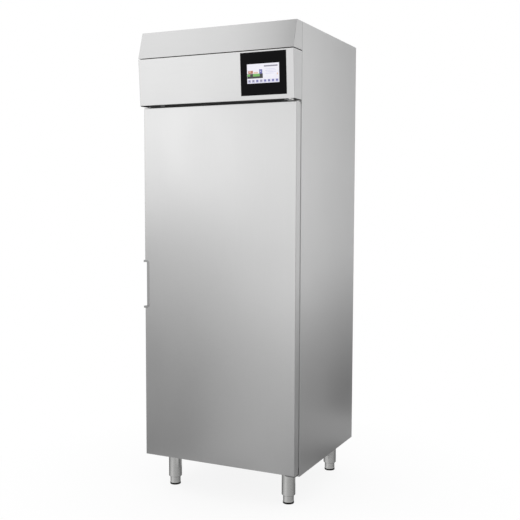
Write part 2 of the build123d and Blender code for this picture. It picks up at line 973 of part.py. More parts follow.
def leg_sleeve():
    """Welded leg: top plate, sleeve with a tapered mouth, and the boss that guides the foot's rod."""
    plate_low = leg_height - leg_plate_thickness
    plate = along_z(RectangleRounded(leg_plate, leg_plate, 8), plate_low, leg_height)
    sleeve = along_z(Circle(sleeve_radius), sleeve_foot_gap, plate_low)
    sleeve = chamfer(sleeve.edges().sort_by(Axis.Z)[0], sleeve_chamfer)
    mouth_top = sleeve_foot_gap + sleeve_chamfer
    bore = along_z(Circle(sleeve_radius - sleeve_wall), mouth_top, plate_low - boss_length)
    bore += along_z(Circle(barrel_radius + 1), sleeve_foot_gap - 1, mouth_top + 1)
    rod_hole = along_z(Circle(rod_radius + foot_running_gap), plate_low - boss_length - 1, plate_low)
    return plate + sleeve - bore - rod_hole


def foot():
    """Threaded rod and barrel of an adjustable foot, on its own axis."""
    barrel = along_z(Circle(barrel_radius), pad_floor, barrel_top)
    barrel = chamfer(barrel.edges().sort_by(Axis.Z)[-1], 2)
    return barrel + along_z(Circle(rod_radius), barrel_top, rod_top)


def foot_pad():
    """Black rubber pad that wraps the bottom of a foot."""
    pad = along_z(Circle(pad_radius), 0, pad_height)
    pad = fillet(pad.edges().sort_by(Axis.Z)[0], 1.5)
    return pad - along_z(Circle(barrel_radius), pad_floor, pad_height + 1)


# Chamber fittings


def upright_centres():
    """Y of the front and the rear uprights."""
    return [front_y + upright_front, chamber_back - upright_rear]


def slot_heights():
    """Heights of the slots in the uprights, as many as the chamber has room for."""
    low = chamber_floor + upright_end_gap + slot_pitch / 2
    room = chamber_ceiling - upright_end_gap - slot_pitch / 2 - low
    return [low + slot_pitch * i for i in range(int(room // slot_pitch) + 1)]


def shelf_uprights():
    """Four slotted channel strips on the side walls."""
    solids = []
    low = chamber_floor + upright_end_gap
    high = chamber_ceiling - upright_end_gap
    face = chamber_half - upright_depth
    for y in upright_centres():
        half = upright_width / 2
        points = [(chamber_half, y + half), (face, y + half), (face, y - half), (chamber_half, y - half)]
        slots = []
        for z in slot_heights():
            slot_z = (z - slot_height / 2, z + slot_height / 2)
            slot_y = (y - slot_width / 2, y + slot_width / 2)
            slots.append(block((face - 1, face + 2 * upright_sheet), slot_y, slot_z))
        strip = along_z(folded(points, upright_sheet, upright_sheet), low, high) - slots
        solids += [strip, mirror(strip, about=Plane.YZ)]
    return solids


def shelf_slots():
    """Heights of the slots that carry the three shelves."""
    slots = slot_heights()
    return [slots[low_shelf_slot + shelf_slot_step * i] for i in range(3)]


def runner_span():
    """Front and rear end of a shelf runner."""
    front, rear = upright_centres()
    return front - upright_width, rear + upright_width


def hooked_angle(slot, height):
    """Right hand angle strip that hooks into the uprights' slots at mid height."""
    x = chamber_half - upright_depth
    hook_z = slot - slot_height / 2
    low = hook_z - height / 2
    points = [(x - runner_leg, low), (x, low), (x, low + height)]
    strip = along_y(folded(points, runner_sheet), *runner_span())
    hook_x = (x - runner_sheet / 2, x + upright_sheet + hook_reach)
    for y in upright_centres():
        hook_y = (y - slot_width / 2 + 1, y + slot_width / 2 - 1)
        strip += block(hook_x, hook_y, (hook_z, hook_z + slot_height / 2))
    return strip


def runner_top(slot):
    """Height of the surface that a shelf slides on."""
    return slot - slot_height / 2 - runner_leg / 2 + runner_sheet


def shelf_runners():
    """A pair of runners for each shelf."""
    right = [hooked_angle(slot, runner_leg) for slot in shelf_slots()]
    return right + [mirror(piece, about=Plane.YZ) for piece in right]


def shelf_y():
    """Front and rear edge of a shelf."""
    return front_y + shelf_front, chamber_back - duct_depth - shelf_back_gap


def wire_shelf(rest):
    """Wire shelf with its underside at a height: rounded rim, ribs and two bearers under the ribs."""
    half = chamber_half - upright_depth - runner_sheet - shelf_side_gap - shelf_wire
    front, back = shelf_y()
    y = (front + shelf_wire, back - shelf_wire)
    z = rest + shelf_wire
    path = FilletPolyline((0, y[0], z), (half, y[0], z), (half, y[1], z), (0, y[1], z), radius=shelf_corner)
    rim = sweep(Plane((0, y[0], z), z_dir=(1, 0, 0)) * Circle(shelf_wire), path=path)
    wires = [mirror(rim, about=Plane.YZ)]
    ribs = int(2 * (half - shelf_corner) // rib_spacing)
    rib_z = z + shelf_wire - rib_radius
    for i in range(ribs + 1):
        x = (i - ribs / 2) * rib_spacing
        wires.append(rod((x, y[0], rib_z), (x, y[1], rib_z), rib_radius))
    bearer_z = rib_z - rib_radius - bearer_radius + weld_depth
    for bearer_y in (y[0] + bearer_inset, y[1] - bearer_inset):
        wires.append(rod((-half, bearer_y, bearer_z), (half, bearer_y, bearer_z), bearer_radius))
    return rim + wires


def rail_height():
    """Height of the axis of the hanging rails."""
    return slot_heights()[-1] - slot_height / 2 + cradle_height / 2 - rail_radius


def hanging_rails():
    """Two hanging rails across the chamber, resting in notched strips between the uprights."""
    x = chamber_half - upright_depth
    z = rail_height()
    middle = sum(runner_span()) / 2
    strip = hooked_angle(slot_heights()[-1], cradle_height)
    bars = []
    for y in (middle - rail_spacing / 2, middle + rail_spacing / 2):
        seat = Pos(y, z) * Circle(rail_radius)
        seat += Pos(y, z + rail_radius) * Rectangle(2 * rail_radius, 2 * rail_radius)
        strip -= along_x(seat, x - 2 * runner_sheet, x + 1)
        wall = Pos(y, z) * Circle(rail_radius) - Pos(y, z) * Circle(rail_radius - rail_wall)
        bars.append(along_x(wall, -x, x))
    return bars + [strip, mirror(strip, about=Plane.YZ)]


def air_duct_panel():
    """Channel on the back wall with two columns of air slots."""
    half = duct_width / 2
    front = chamber_back - duct_depth
    points = [(-half, chamber_back), (-half, front), (half, front), (half, chamber_back)]
    low = chamber_floor + duct_rise
    high = chamber_ceiling
    slots = []
    for row in range(int((high - low) // duct_slot_pitch) - 1):
        z = low + duct_slot_pitch * (row + 1)
        for side in (-1, 1):
            slot = Pos(side * duct_width / 4, z) * SlotOverall(duct_slot_width, duct_slot_height)
            slots.append(along_y(slot, front - 2, front + 2))
    end_x = (-half + liner_sheet, half - liner_sheet)
    end = block(end_x, (front + liner_sheet, chamber_back), (low, low + liner_sheet))
    panel = along_z(folded(points, liner_sheet), low, high) - slots + end
    return panel & chamber_block(0, front_y + break_depth)


def ceiling_grille():
    """Grille under the return air passage."""
    x = vent_width / 2 + grille_border
    y = front_y + vent_front
    z = (chamber_ceiling - grille_sheet, chamber_ceiling)
    plate = block((-x, x), (y - grille_border, y + vent_depth + grille_border), z)
    rows = int(vent_depth // grille_pitch)
    slots = []
    for row in range(rows):
        place = Pos(0, y + (row + 0.5) * vent_depth / rows)
        slots.append(along_z(place * SlotOverall(vent_width, grille_bar), z[0] - 1, z[1] + 1))
    return plate - slots


def chamber_lamp():
    """Lamp bar under the ceiling near the door."""
    y = front_y + lamp_front
    section = Pos(y, chamber_ceiling - lamp_height / 2) * RectangleRounded(lamp_width, lamp_height, 3)
    return along_x(section, -lamp_length / 2, lamp_length / 2)


def chamber_probe():
    """Humidity and temperature probe that hangs beside the return grille."""
    x = vent_width / 2 + grille_border + 3 * probe_radius
    y = front_y + vent_front + vent_depth / 2
    body = rod((x, y, chamber_ceiling - probe_length), (x, y, chamber_ceiling - probe_cap), probe_radius)
    body = fillet(body.edges().sort_by(Axis.Z)[0], probe_radius * 0.8)
    return body + rod((x, y, chamber_ceiling - probe_cap), (x, y, chamber_ceiling), probe_radius * 1.6)


# Machine room


def compressor_centre():
    """Axis of the compressor."""
    return -half_width + compressor_side, front_y + compressor_front


def mount_places():
    """Places of the four rubber mounts under the compressor."""
    x, y = compressor_centre()
    reach = compressor_base_size / 2 - mount_radius
    return [(x + i * reach, y + j * reach) for i in (-1, 1) for j in (-1, 1)]


def compressor():
    """Hermetic compressor: welded shell on a base plate, terminal cover, suction and discharge stubs."""
    x, y = compressor_centre()
    base = deck_z + mount_height
    size = compressor_base_size
    plate = along_z(Pos(x, y) * RectangleRounded(size, size, mount_radius), base, base + compressor_base)
    shell_z = (base + compressor_base / 2, base + compressor_height)
    shell = along_z(Pos(x, y) * Circle(compressor_radius), *shell_z)
    shell = fillet(shell.edges().filter_by(GeomType.CIRCLE).sort_by(Axis.Z)[-1], compressor_dome)
    seam_z = base + compressor_height * 0.55
    seam = along_z(Pos(x, y) * Circle(compressor_radius + 2), seam_z, seam_z + 4)
    cover_z = base + compressor_height * 0.3
    cover_y = y + compressor_radius
    cover = block((x - 30, x + 30), (cover_y - 20, cover_y + 22), (cover_z, cover_z + 60))
    cover = fillet(parallel_edges(cover, Axis.Y), 6)
    stubs = [rod(start, end, port_radius) for start, end in port_ends()]
    holes = []
    for place in mount_places():
        holes.append(along_z(Pos(*place) * Circle(mount_waist), base - 1, base + 2 * compressor_base))
    return plate + [shell, seam, cover] + stubs - holes


def port_ends():
    """Start and end of the compressor's discharge and suction stubs."""
    x, y = compressor_centre()
    z = deck_z + mount_height + compressor_height * 0.45
    start = x + compressor_radius * 0.7
    end = x + compressor_radius + port_length
    return [((start, y + side * port_spread, z), (end, y + side * port_spread, z)) for side in (-1, 1)]


def compressor_mounts():
    """Rubber grommets between the compressor's base plate and the deck."""
    solids = []
    top = deck_z + mount_height
    for place in mount_places():
        body = along_z(Pos(*place) * Circle(mount_radius), deck_z, top)
        body += along_z(Pos(*place) * Circle(mount_waist), top, top + compressor_base)
        body += along_z(Pos(*place) * Circle(mount_radius), top + compressor_base, top + 2 * compressor_base)
        bore = along_z(Pos(*place) * Circle(mount_waist / 2), deck_z - 1, top + 3 * compressor_base)
        solids.append(body - bore)
    return solids


def finned_coil(x, y, z, fins):
    """Coil between two end plates: fins across the tubes, tube ends standing out at both sides."""
    pieces = [block((x[0], x[0] + coil_plate), y, z), block((x[1] - coil_plate, x[1]), y, z)]
    gap = (x[1] - x[0] - 2 * coil_plate) / (fins + 1)
    for i in range(fins):
        fin_x = x[0] + coil_plate + gap * (i + 1)
        pieces.append(block((fin_x - fin_sheet / 2, fin_x + fin_sheet / 2), y, z))
    for column in range(coil_columns):
        for row in range(coil_rows):
            tube_y, tube_z = tube_place(y, z, column, row)
            start = (x[0] - coil_tube_end, tube_y, tube_z)
            pieces.append(rod(start, (x[1] + coil_tube_end, tube_y, tube_z), coil_tube_radius))
    return joined(pieces)


def tube_place(y, z, column, row):
    """Y and Z of a tube of a coil that spans y and z."""
    tube_y = y[0] + (y[1] - y[0]) * (column + 0.5) / coil_columns
    return tube_y, z[0] + (z[1] - z[0]) * (row + 0.5) / coil_rows


def condenser_box():
    """Low and high values of the condenser along each axis."""
    x_high = half_width - condenser_side
    y_low = front_y + condenser_front
    y = (y_low, y_low + condenser_thickness)
    return (x_high - condenser_width, x_high), y, (deck_z, deck_z + condenser_height)


def condenser_coil():
    """Condenser on the machine room deck behind the crown."""
    return finned_coil(*condenser_box(), condenser_fins)


def condenser_fan_centre():
    """Axis of the condenser fan: across and up, and the front of its blades."""
    x, y, z = condenser_box()
    return (x[0] + x[1]) / 2, (z[0] + z[1]) / 2, y[1] + shroud_depth - fan_depth / 2


def condenser_shroud():
    """Sheet shroud from the condenser to the fan ring."""
    x, y, z = condenser_box()
    fan_x, fan_z, _ = condenser_fan_centre()
    s = shroud_sheet
    back = y[1] + shroud_depth
    shroud = block(x, (y[1], back), z)
    shroud -= block((x[0] + s, x[1] - s), (y[1] - 1, back - s), (z[0] + s, z[1] - s))
    centre = Pos(fan_x, fan_z)
    shroud += along_y(centre * Circle(fan_radius + fan_gap + s), back - s, back + 4 * s)
    return shroud - along_y(centre * Circle(fan_radius + fan_gap), y[1] - 1, back + 5 * s)


def fan_wheel(x, z, front):
    """Axial fan on an axis along Y: hub with a bore for the motor's shaft, and pitched blades."""
    hub = along_y(Pos(x, z) * Circle(fan_hub_radius), front, front + fan_depth)
    hub = fillet(hub.edges().filter_by(GeomType.CIRCLE).sort_by(Axis.Y)[0], 4)
    hub -= along_y(Pos(x, z) * Circle(motor_shaft_radius), front + fan_depth / 2 - 1, front + fan_depth + 1)
    inner = fan_hub_radius - 3
    chord = fan_depth * 0.8 / sin(radians(blade_pitch))
    blade = Box(chord, blade_sheet, fan_radius - inner)
    blade = fillet(parallel_edges(blade, Axis.Y), chord / 5)
    blade = Pos(0, 0, (fan_radius + inner) / 2) * Rot(0, 0, blade_pitch) * blade
    place = Pos(x, front + fan_depth / 2, z)
    return hub + [place * Rot(0, 360 / fan_blades * i, 0) * blade for i in range(fan_blades)]


def fan_motor(x, z, blade_back, carrier):
    """Fan motor with its shaft in the fan's hub and three arms to the face that carries it."""
    front = blade_back + motor_gap
    shell = along_y(Pos(x, z) * Circle(motor_radius), front, front + motor_length)
    shell = fillet(shell.edges().filter_by(GeomType.CIRCLE), 5)
    shaft_section = Pos(x, z) * Circle(motor_shaft_radius - hinge_running_gap)
    shaft = along_y(shaft_section, blade_back - fan_depth / 2, front + 1)
    reach = fan_radius + fan_gap + 2 * motor_arm
    half = motor_arm / 2
    arm_y = (front + motor_length / 2, front + motor_length / 2 + motor_arm_sheet)
    arm = block((-half, half), arm_y, (motor_radius - 3, reach))
    arm += block((-half, half), (carrier, arm_y[1]), (reach - motor_arm_sheet, reach))
    arm += block((-half, half), (carrier, carrier + motor_foot), (reach - motor_arm_sheet, reach + half))
    return shell + shaft + [Pos(x, 0, z) * Rot(0, 180 + 120 * i, 0) * arm for i in range(3)]


def fan_motors():
    """Motors of the condenser fan and of the evaporator fan."""
    x, z, front = condenser_fan_centre()
    y = condenser_box()[1]
    first = fan_motor(x, z, front + fan_depth, y[1] + shroud_depth)
    x, z, front = evaporator_fan_centre()
    second = fan_motor(x, z, front + fan_depth, partition_y() + partition_sheet)
    return [first, second]


def evaporator_housing_box():
    """Outside of the evaporator's insulated housing along each axis."""
    y_low = front_y + housing_front_evaporator
    half = housing_width_evaporator / 2
    return (-half, half), (y_low, back_y - room_gap), (deck_z, deck_z + housing_height_evaporator)


def evaporator_box():
    """Low and high values of the evaporator coil along each axis: it stands in the drip pan."""
    y_high = evaporator_housing_box()[1][1] - housing_wall_evaporator - evaporator_back_gap
    half = evaporator_width / 2
    low = deck_z + pan_rise + pan_sheet
    return (-half, half), (y_high - evaporator_thickness, y_high), (low, low + evaporator_height)


def partition_y():
    """Front of the sheet that carries the evaporator fan."""
    return evaporator_box()[1][0] - partition_gap - motor_length - 2 * motor_gap


def evaporator_fan_centre():
    """Axis of the evaporator fan: across and up, and the front of its blades."""
    return 0.0, deck_z + fan_axis_rise, partition_y() - fan_depth / 2 + 6


def evaporator_housing():
    """Insulated cover over the coil, with the partition that the fan blows through."""
    x, y, z = evaporator_housing_box()
    wall = housing_wall_evaporator
    inner_x = (x[0] + wall, x[1] - wall)
    cover = block(x, y, z) - block(inner_x, (y[0] + wall, y[1] - wall), (z[0] - 1, z[1] - wall))
    fan_x, fan_z, _ = evaporator_fan_centre()
    ring_y = (partition_y(), partition_y() + partition_sheet)
    partition = block(inner_x, ring_y, (deck_z, z[1] - wall))
    partition -= along_y(Pos(fan_x, fan_z) * Circle(fan_radius + fan_gap), ring_y[0] - 1, ring_y[1] + 1)
    return cover + partition - wall_passages()


def wall_passages():
    """Holes through the housing for the liquid pipe, the suction pipe and the drain."""
    x = evaporator_housing_box()[0]
    ends = (x[0] - 1, x[0] + housing_wall_evaporator + 1)
    holes = []
    for y, z in (liquid_entry(), suction_entry()):
        holes.append(rod((ends[0], y, z), (ends[1], y, z), pipe_radius))
    holes.append(rod((ends[0], drain_y(), drain_z()), (ends[1], drain_y(), drain_z()), drain_radius))
    return holes


def liquid_entry():
    """Y and Z of the tube that the liquid pipe feeds in the evaporator."""
    return tube_place(*evaporator_box()[1:], coil_columns - 1, 1)


def suction_entry():
    """Y and Z of the tube that the suction pipe leaves from."""
    return tube_place(*evaporator_box()[1:], 0, coil_rows - 2)


def evaporator_coil():
    """Evaporator coil in the housing."""
    return finned_coil(*evaporator_box(), evaporator_fins)


def drain_y():
    """Y of the drain stub on the drip pan."""
    return evaporator_box()[1][0] + 15


def drain_z():
    """Height of the axis of the drain stub."""
    return deck_z + pan_rise + drain_radius + 1


def drip_pan():
    """Pan under the evaporator, standing on the deck, with a drain pipe to the evaporation tray."""
    x, y, _ = evaporator_box()
    half = x[1] + pan_overhang
    low = deck_z + pan_rise
    ys = (y[0] - pan_overhang, y[1] + pan_overhang)
    s = pan_sheet
    pan = block((-half, half), ys, (low, low + pan_height))
    pan -= block((-half + s, half - s), (ys[0] + s, ys[1] - s), (low + s, low + pan_height + 1))
    legs = mirrored(block((half - pan_overhang, half), ys, (deck_z, low)))
    bend = 2 * drain_radius
    x_side = evaporator_housing_box()[0][0] - bend - 2
    y_front = evaporator_housing_box()[1][0] - bend
    tray_x, tray_y, _ = tray_box()
    spout = (tray_x[0] + tray_width / 4, tray_y[1] - tray_depth / 4)
    z = drain_z()
    points = [
        (-half, drain_y(), z),
        (x_side, drain_y(), z),
        (x_side, y_front, z),
        (spout[0], y_front, z),
        (spout[0], spout[1], z),
    ]
    hole = rod((-half - 1, drain_y(), z), (-half + s + 1, drain_y(), z), drain_radius - drain_wall)
    return pan + legs + tube(points, drain_radius, drain_wall, bend) - hole


def tray_box():
    """Low and high values of the evaporation tray along each axis."""
    x_low = compressor_centre()[0] + compressor_base_size / 2 + room_gap
    y_high = evaporator_housing_box()[1][0] - room_gap
    return (x_low, x_low + tray_width), (y_high - tray_depth, y_high), (deck_z, deck_z + tray_height)


def evaporation_tray():
    """Open tray between compressor and condenser where the drip water dries off."""
    x, y, z = tray_box()
    centre = Pos((x[0] + x[1]) / 2, (y[0] + y[1]) / 2)
    s = tray_sheet
    tray = along_z(centre * RectangleRounded(tray_width, tray_depth, tray_corner), z[0], z[1])
    hollow = RectangleRounded(tray_width - 2 * s, tray_depth - 2 * s, tray_corner - s)
    return tray - along_z(centre * hollow, z[0] + s, z[1] + 1)


def refrigerant_pipes():
    """Discharge pipe, liquid pipe with the filter drier in it, and suction pipe."""
    x, y, z = condenser_box()
    start_x = x[0] - coil_tube_end
    inlet = tube_place(y, z, coil_columns - 1, coil_rows - 1)
    outlet = tube_place(y, z, 0, 0)
    (_, discharge), (_, suction) = port_ends()
    turn = 2 * pipe_bend + 2
    riser = discharge[0] + turn
    near = start_x - turn
    high = cabinet_height - pipe_ceiling
    side = evaporator_housing_box()[0][0] - pipe_bend - 2
    coil_x = evaporator_box()[0][0] - coil_tube_end
    hot = [
        discharge,
        (riser, discharge[1], discharge[2]),
        (riser, discharge[1], inlet[1]),
        (near, inlet[0], inlet[1]),
        (start_x, inlet[0], inlet[1]),
    ]
    feed = liquid_entry()
    liquid = [
        (start_x, outlet[0], outlet[1]),
        (near, outlet[0], outlet[1]),
        (near, outlet[0], high),
        (side, outlet[0], high),
        (side, feed[0], high),
        (side, feed[0], feed[1]),
        (coil_x, feed[0], feed[1]),
    ]
    leave = suction_entry()
    across = evaporator_housing_box()[1][0] - room_gap - pipe_radius
    cold = [
        (coil_x, leave[0], leave[1]),
        (side, leave[0], leave[1]),
        (side, across, leave[1]),
        (riser, across, leave[1]),
        (riser, across, suction[2]),
        (riser, suction[1], suction[2]),
        suction,
    ]
    drier_z = deck_z + tray_height + 2 * drier_radius
    drier = rod((near, outlet[0], drier_z), (near, outlet[0], drier_z + drier_length), drier_radius)
    drier = chamfer(drier.edges().filter_by(GeomType.CIRCLE), drier_radius / 2)
    bore_end = (near, outlet[0], drier_z + drier_length + 1)
    bore = rod((near, outlet[0], drier_z - 1), bore_end, pipe_radius - pipe_wall)
    pipes = [tube(points, pipe_radius, pipe_wall, pipe_bend) for points in (hot, liquid, cold)]
    pipes[1] = pipes[1] + (drier - bore)
    return pipes


def electrical_box():
    """Closed box of the mains connection and the relays, with a lid that overhangs its walls."""
    x_low = -half_width + shell_sheet + room_gap
    y_high = back_y - 2 * shell_sheet - 6 * room_gap
    x = (x_low, x_low + box_width)
    y = (y_high - box_depth, y_high)
    box = block(x, y, (deck_z, deck_z + box_height))
    box = fillet(parallel_edges(box, Axis.Z), 2 * box_wall)
    w = box_wall
    box -= block((x[0] + w, x[1] - w), (y[0] + w, y[1] - w), (deck_z + w, deck_z + box_height - w))
    rim_z = (deck_z + box_height - 4 * w, deck_z + box_height - 3 * w)
    rim = block((x[0] - 1, x[1] + 1), (y[0] - 1, y[1] + 1), rim_z)
    return box + (rim - block((x[0] + w, x[1] - w), (y[0] + w, y[1] - w), rim_z))


def power_gland():
    """Strain relief bushing of the mains cable in the rear grille."""
    y = back_y - shell_sheet
    place = Pos(gland_x(), deck_z + gland_rise)
    flange = along_y(place * Circle(gland_flange_radius), y, y + shell_sheet)
    barrel = along_y(place * Circle(gland_thread_radius), y - shell_sheet - 3 * gland_nut, y)
    nut = along_y(place * RegularPolygon(gland_hex / 2, 6), y - shell_sheet - gland_nut, y - shell_sheet)
    bore = along_y(place * Circle(gland_bore_radius), y - shell_sheet - 4 * gland_nut, back_y + 1)
    return flange + barrel + nut - bore


# Output


def keep(name, made):
    """Writes one node from one solid, or from a list of separate solids."""
    solids = []
    for piece in made if isinstance(made, list) else [made]:
        solids += piece.solids()
    if not isinstance(made, list) and len(solids) != 1:
        raise ValueError(name + " is in " + str(len(solids)) + " pieces")
    node = solids[0] if len(solids) == 1 else Compound(children=solids)
    node.label = name
    export_step(node, "parts/" + name + ".step")


os.makedirs("parts", exist_ok=True)
right_panel = side_panel() - body_screws()
left_panel = mirror(side_panel(), about=Plane.YZ) - body_screws()
keep("right_side_panel", right_panel)
keep("left_side_panel", left_panel)
keep("back_panel", back_panel())
keep("bottom_panel", bottom_panel())
keep("top_cover", roof())
keep("top_front_rail", top_front_rail())
keep("thermal_break_frame", thermal_break_frame())
keep("inner_liner", inner_liner())
keep("wall_foam", wall_foam())
keep("machine_deck", machine_deck())
keep("machine_rear_grille", machine_rear_grille())
keep("body_screws", body_screws())
keep("crown_trim", crown_trim())
keep("panel_brackets", panel_brackets())
keep("control_panel", control_panel())
keep("display_glass", display_glass())
keep("display_screen", display_screen())
keep("display_housing", display_housing())
keep("door_skin", door_skin())
keep("door_handle", door_handle())
keep("door_liner", door_liner())
keep("door_foam", door_foam())
keep("gasket_retainer", gasket_retainer())
keep("door_gasket", door_gasket())
keep("door_bushes", door_bushes())
keep("top_hinge", top_hinge())
keep("bottom_hinge", bottom_hinge())
keep("leg_sleeves", [Pos(*place, 0) * leg_sleeve() for place in leg_places().values()])
for name, place in leg_places().items():
    keep("foot_" + name, Pos(*place, 0) * foot())
    keep("pad_" + name, Pos(*place, 0) * foot_pad())
keep("shelf_uprights", shelf_uprights())
keep("shelf_runners", shelf_runners())
for name, slot in zip(("low", "middle", "high"), shelf_slots()):
    keep("wire_shelf_" + name, wire_shelf(runner_top(slot)))
keep("hanging_rail", hanging_rails())
keep("air_duct_panel", air_duct_panel())
keep("ceiling_grille", ceiling_grille())
keep("chamber_lamp", chamber_lamp())
keep("chamber_probe", chamber_probe())
keep("compressor", compressor())
keep("compressor_mounts", compressor_mounts())
keep("condenser_coil", condenser_coil())
keep("condenser_shroud", condenser_shroud())
keep("condenser_fan", fan_wheel(*condenser_fan_centre()))
keep("evaporator_fan", fan_wheel(*evaporator_fan_centre()))
keep("fan_motors", fan_motors())
keep("refrigerant_pipes", refrigerant_pipes())
keep("electrical_box", electrical_box())
keep("power_gland", power_gland())
keep("evaporator_housing", evaporator_housing())
keep("evaporator_coil", evaporator_coil())
keep("drip_pan", drip_pan())
keep("evaporation_tray", evaporation_tray())
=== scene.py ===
import json
from math import cos, pi, radians, sin

import bmesh
import bpy
from mathutils import Matrix, Vector


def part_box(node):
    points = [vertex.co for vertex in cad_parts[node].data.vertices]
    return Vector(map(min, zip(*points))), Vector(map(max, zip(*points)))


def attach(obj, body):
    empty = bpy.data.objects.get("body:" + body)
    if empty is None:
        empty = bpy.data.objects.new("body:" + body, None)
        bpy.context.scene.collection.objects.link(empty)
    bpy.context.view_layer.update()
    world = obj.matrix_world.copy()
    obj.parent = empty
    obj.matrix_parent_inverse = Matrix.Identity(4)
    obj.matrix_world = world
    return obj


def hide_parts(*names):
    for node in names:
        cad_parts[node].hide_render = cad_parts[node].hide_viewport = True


# Dry aging cabinet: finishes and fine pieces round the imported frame. Metres, X right, Y back, Z up.

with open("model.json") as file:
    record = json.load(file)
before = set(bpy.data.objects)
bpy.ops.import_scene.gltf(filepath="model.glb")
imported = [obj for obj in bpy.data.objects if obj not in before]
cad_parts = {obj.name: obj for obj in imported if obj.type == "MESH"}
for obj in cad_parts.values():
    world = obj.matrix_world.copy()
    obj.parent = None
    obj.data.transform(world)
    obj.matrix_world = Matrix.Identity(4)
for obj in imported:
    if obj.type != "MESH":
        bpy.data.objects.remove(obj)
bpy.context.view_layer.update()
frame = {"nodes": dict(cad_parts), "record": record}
nodes = frame["nodes"]
slot_of = {part["node"]: part["material_slot"] for part in frame["record"]["subparts"]}
MM = 0.001


# Finishes


class Finish:
    """A material and the few node chains that its finish is made of."""

    def __init__(self, name, colour, rough, metal=0.0, shine=0.5):
        self.material = bpy.data.materials.new(name)
        self.material.use_nodes = True
        self.tree = self.material.node_tree
        self.shader = self.tree.nodes["Principled BSDF"]
        self.colour = colour
        self.set("Base Color", (*colour, 1))
        self.set("Roughness", rough)
        self.set("Metallic", metal)
        self.set("Specular IOR Level", shine)
        self.normal = None

    def set(self, socket, value):
        """A plain value on the shader itself."""
        self.shader.inputs[socket].default_value = value
        return self

    def node(self, kind, **settings):
        """A node with its settings; a setting that names a socket fills that socket."""
        made = self.tree.nodes.new("ShaderNode" + kind)
        for key, value in settings.items():
            if hasattr(made, key):
                setattr(made, key, value)
            else:
                made.inputs[key.replace("_", " ")].default_value = value
        return made

    def link(self, start, end):
        """A link from one node's output to another's input."""
        self.tree.links.new(start, end)

    def place(self):
        """The piece's own coordinates."""
        return self.node("TexCoord").outputs["Object"]

    def vector(self, operation, *terms):
        """Result of a vector operation on sockets and plain values."""
        made = self.node("VectorMath", operation=operation)
        for socket, term in zip(made.inputs, terms):
            if isinstance(term, tuple):
                socket.default_value = term
            else:
                self.link(term, socket)
        return made.outputs["Vector"]

    def pattern(self, kind, size, stretch=(1, 1, 1), detail=3.0):
        """Grey pattern on the piece's coordinates: features of a size in metres, drawn out along an axis."""
        fit = self.node("Mapping", Scale=[1 / (size * share) for share in stretch])
        self.link(self.place(), fit.inputs["Vector"])
        if kind == "noise":
            made = self.node("TexNoise", Scale=1.0, Detail=detail)
        else:
            made = self.node("TexVoronoi", Scale=1.0)
        self.link(fit.outputs["Vector"], made.inputs["Vector"])
        if kind == "flakes":
            grey = self.node("SeparateColor")
            self.link(made.outputs["Color"], grey.inputs["Color"])
            return grey.outputs["Red"]
        return made.outputs["Distance" if kind == "cells" else "Fac"]

    def height(self, low, high):
        """0 at one height above the floor and 1 at another, in metres."""
        parts = self.node("SeparateXYZ")
        self.link(self.place(), parts.inputs["Vector"])
        return self.spread(parts.outputs["Z"], 0.0, 1.0, low, high)

    def spread(self, grey, low, high, start=0.3, end=0.7):
        """A pattern's greys, from start to end, brought to run from low to high."""
        made = self.node("MapRange", From_Min=start, From_Max=end, To_Min=low, To_Max=high)
        self.link(grey, made.inputs["Value"])
        return made.outputs["Result"]

    def tint(self, grey, dark, light, start=0.3, end=0.7):
        """Base colour between two multiples of the finish's colour, by a pattern."""
        ramp = self.node("ValToRGB")
        first, last = ramp.color_ramp.elements
        first.position, last.position = start, end
        first.color = (*[min(1, c * dark) for c in self.colour], 1)
        last.color = (*[min(1, c * light) for c in self.colour], 1)
        self.link(grey, ramp.inputs["Fac"])
        self.link(ramp.outputs["Color"], self.shader.inputs["Base Color"])
        return self

    def gloss(self, grey, low, high, start=0.3, end=0.7):
        """Roughness between two values, by a pattern."""
        self.link(self.spread(grey, low, high, start, end), self.shader.inputs["Roughness"])
        return self

    def relief(self, grey, height):
        """Bumps of a height in metres, over those made before."""
        bump = self.node("Bump", Strength=1.0, Distance=height)
        self.link(grey, bump.inputs["Height"])
        if self.normal is not None:
            self.link(self.normal, bump.inputs["Normal"])
        self.normal = bump.outputs["Normal"]
        self.link(self.normal, self.shader.inputs["Normal"])
        return self


UP = (1, 1, 260)
ACROSS = (260, 1, 1)
BRUSH_LINE = 0.6 * MM
CLOUD = 0.35


def brushed(name, colour, rough, grain):
    """Brushed stainless sheet: fine lines along the grain, faint clouds and worn gloss."""
    made = Finish(name, colour, rough, metal=1.0)
    lines = made.pattern("noise", BRUSH_LINE, grain, detail=4)
    clouds = made.pattern("noise", CLOUD, (1, 1, 1.5), detail=2)
    made.tint(lines, 0.985, 1.015)
    made.gloss(clouds, rough - 0.02, rough + 0.03)
    return made.relief(lines, 1e-6)


def steel_painted_lighter_above(name, colour, rough):
    """Brushed steel with painted light: lighter above knee height than below, standing in for brighter
    reflections higher up.
    """
    made = Finish(name, colour, rough, metal=1.0)
    # Painted light: the base colour grows lighter with height.
    made.tint(made.height(0.45, 0.75), 0.95, 1.4, start=0.0, end=1.0)
    made.gloss(made.pattern("noise", CLOUD, detail=2), rough - 0.02, rough + 0.03)
    return made.relief(made.pattern("noise", BRUSH_LINE, UP, detail=4), 1e-6)


def moulded(name, colour, rough, grain=0.9 * MM, height=1.5e-5):
    """Moulded plastic or rubber: fine even texture and slight colour change."""
    made = Finish(name, colour, rough)
    made.tint(made.pattern("noise", 0.03, detail=3), 0.94, 1.06)
    made.gloss(made.pattern("noise", 0.02, detail=2), rough - 0.05, rough + 0.06)
    return made.relief(made.pattern("noise", grain, detail=2), height)


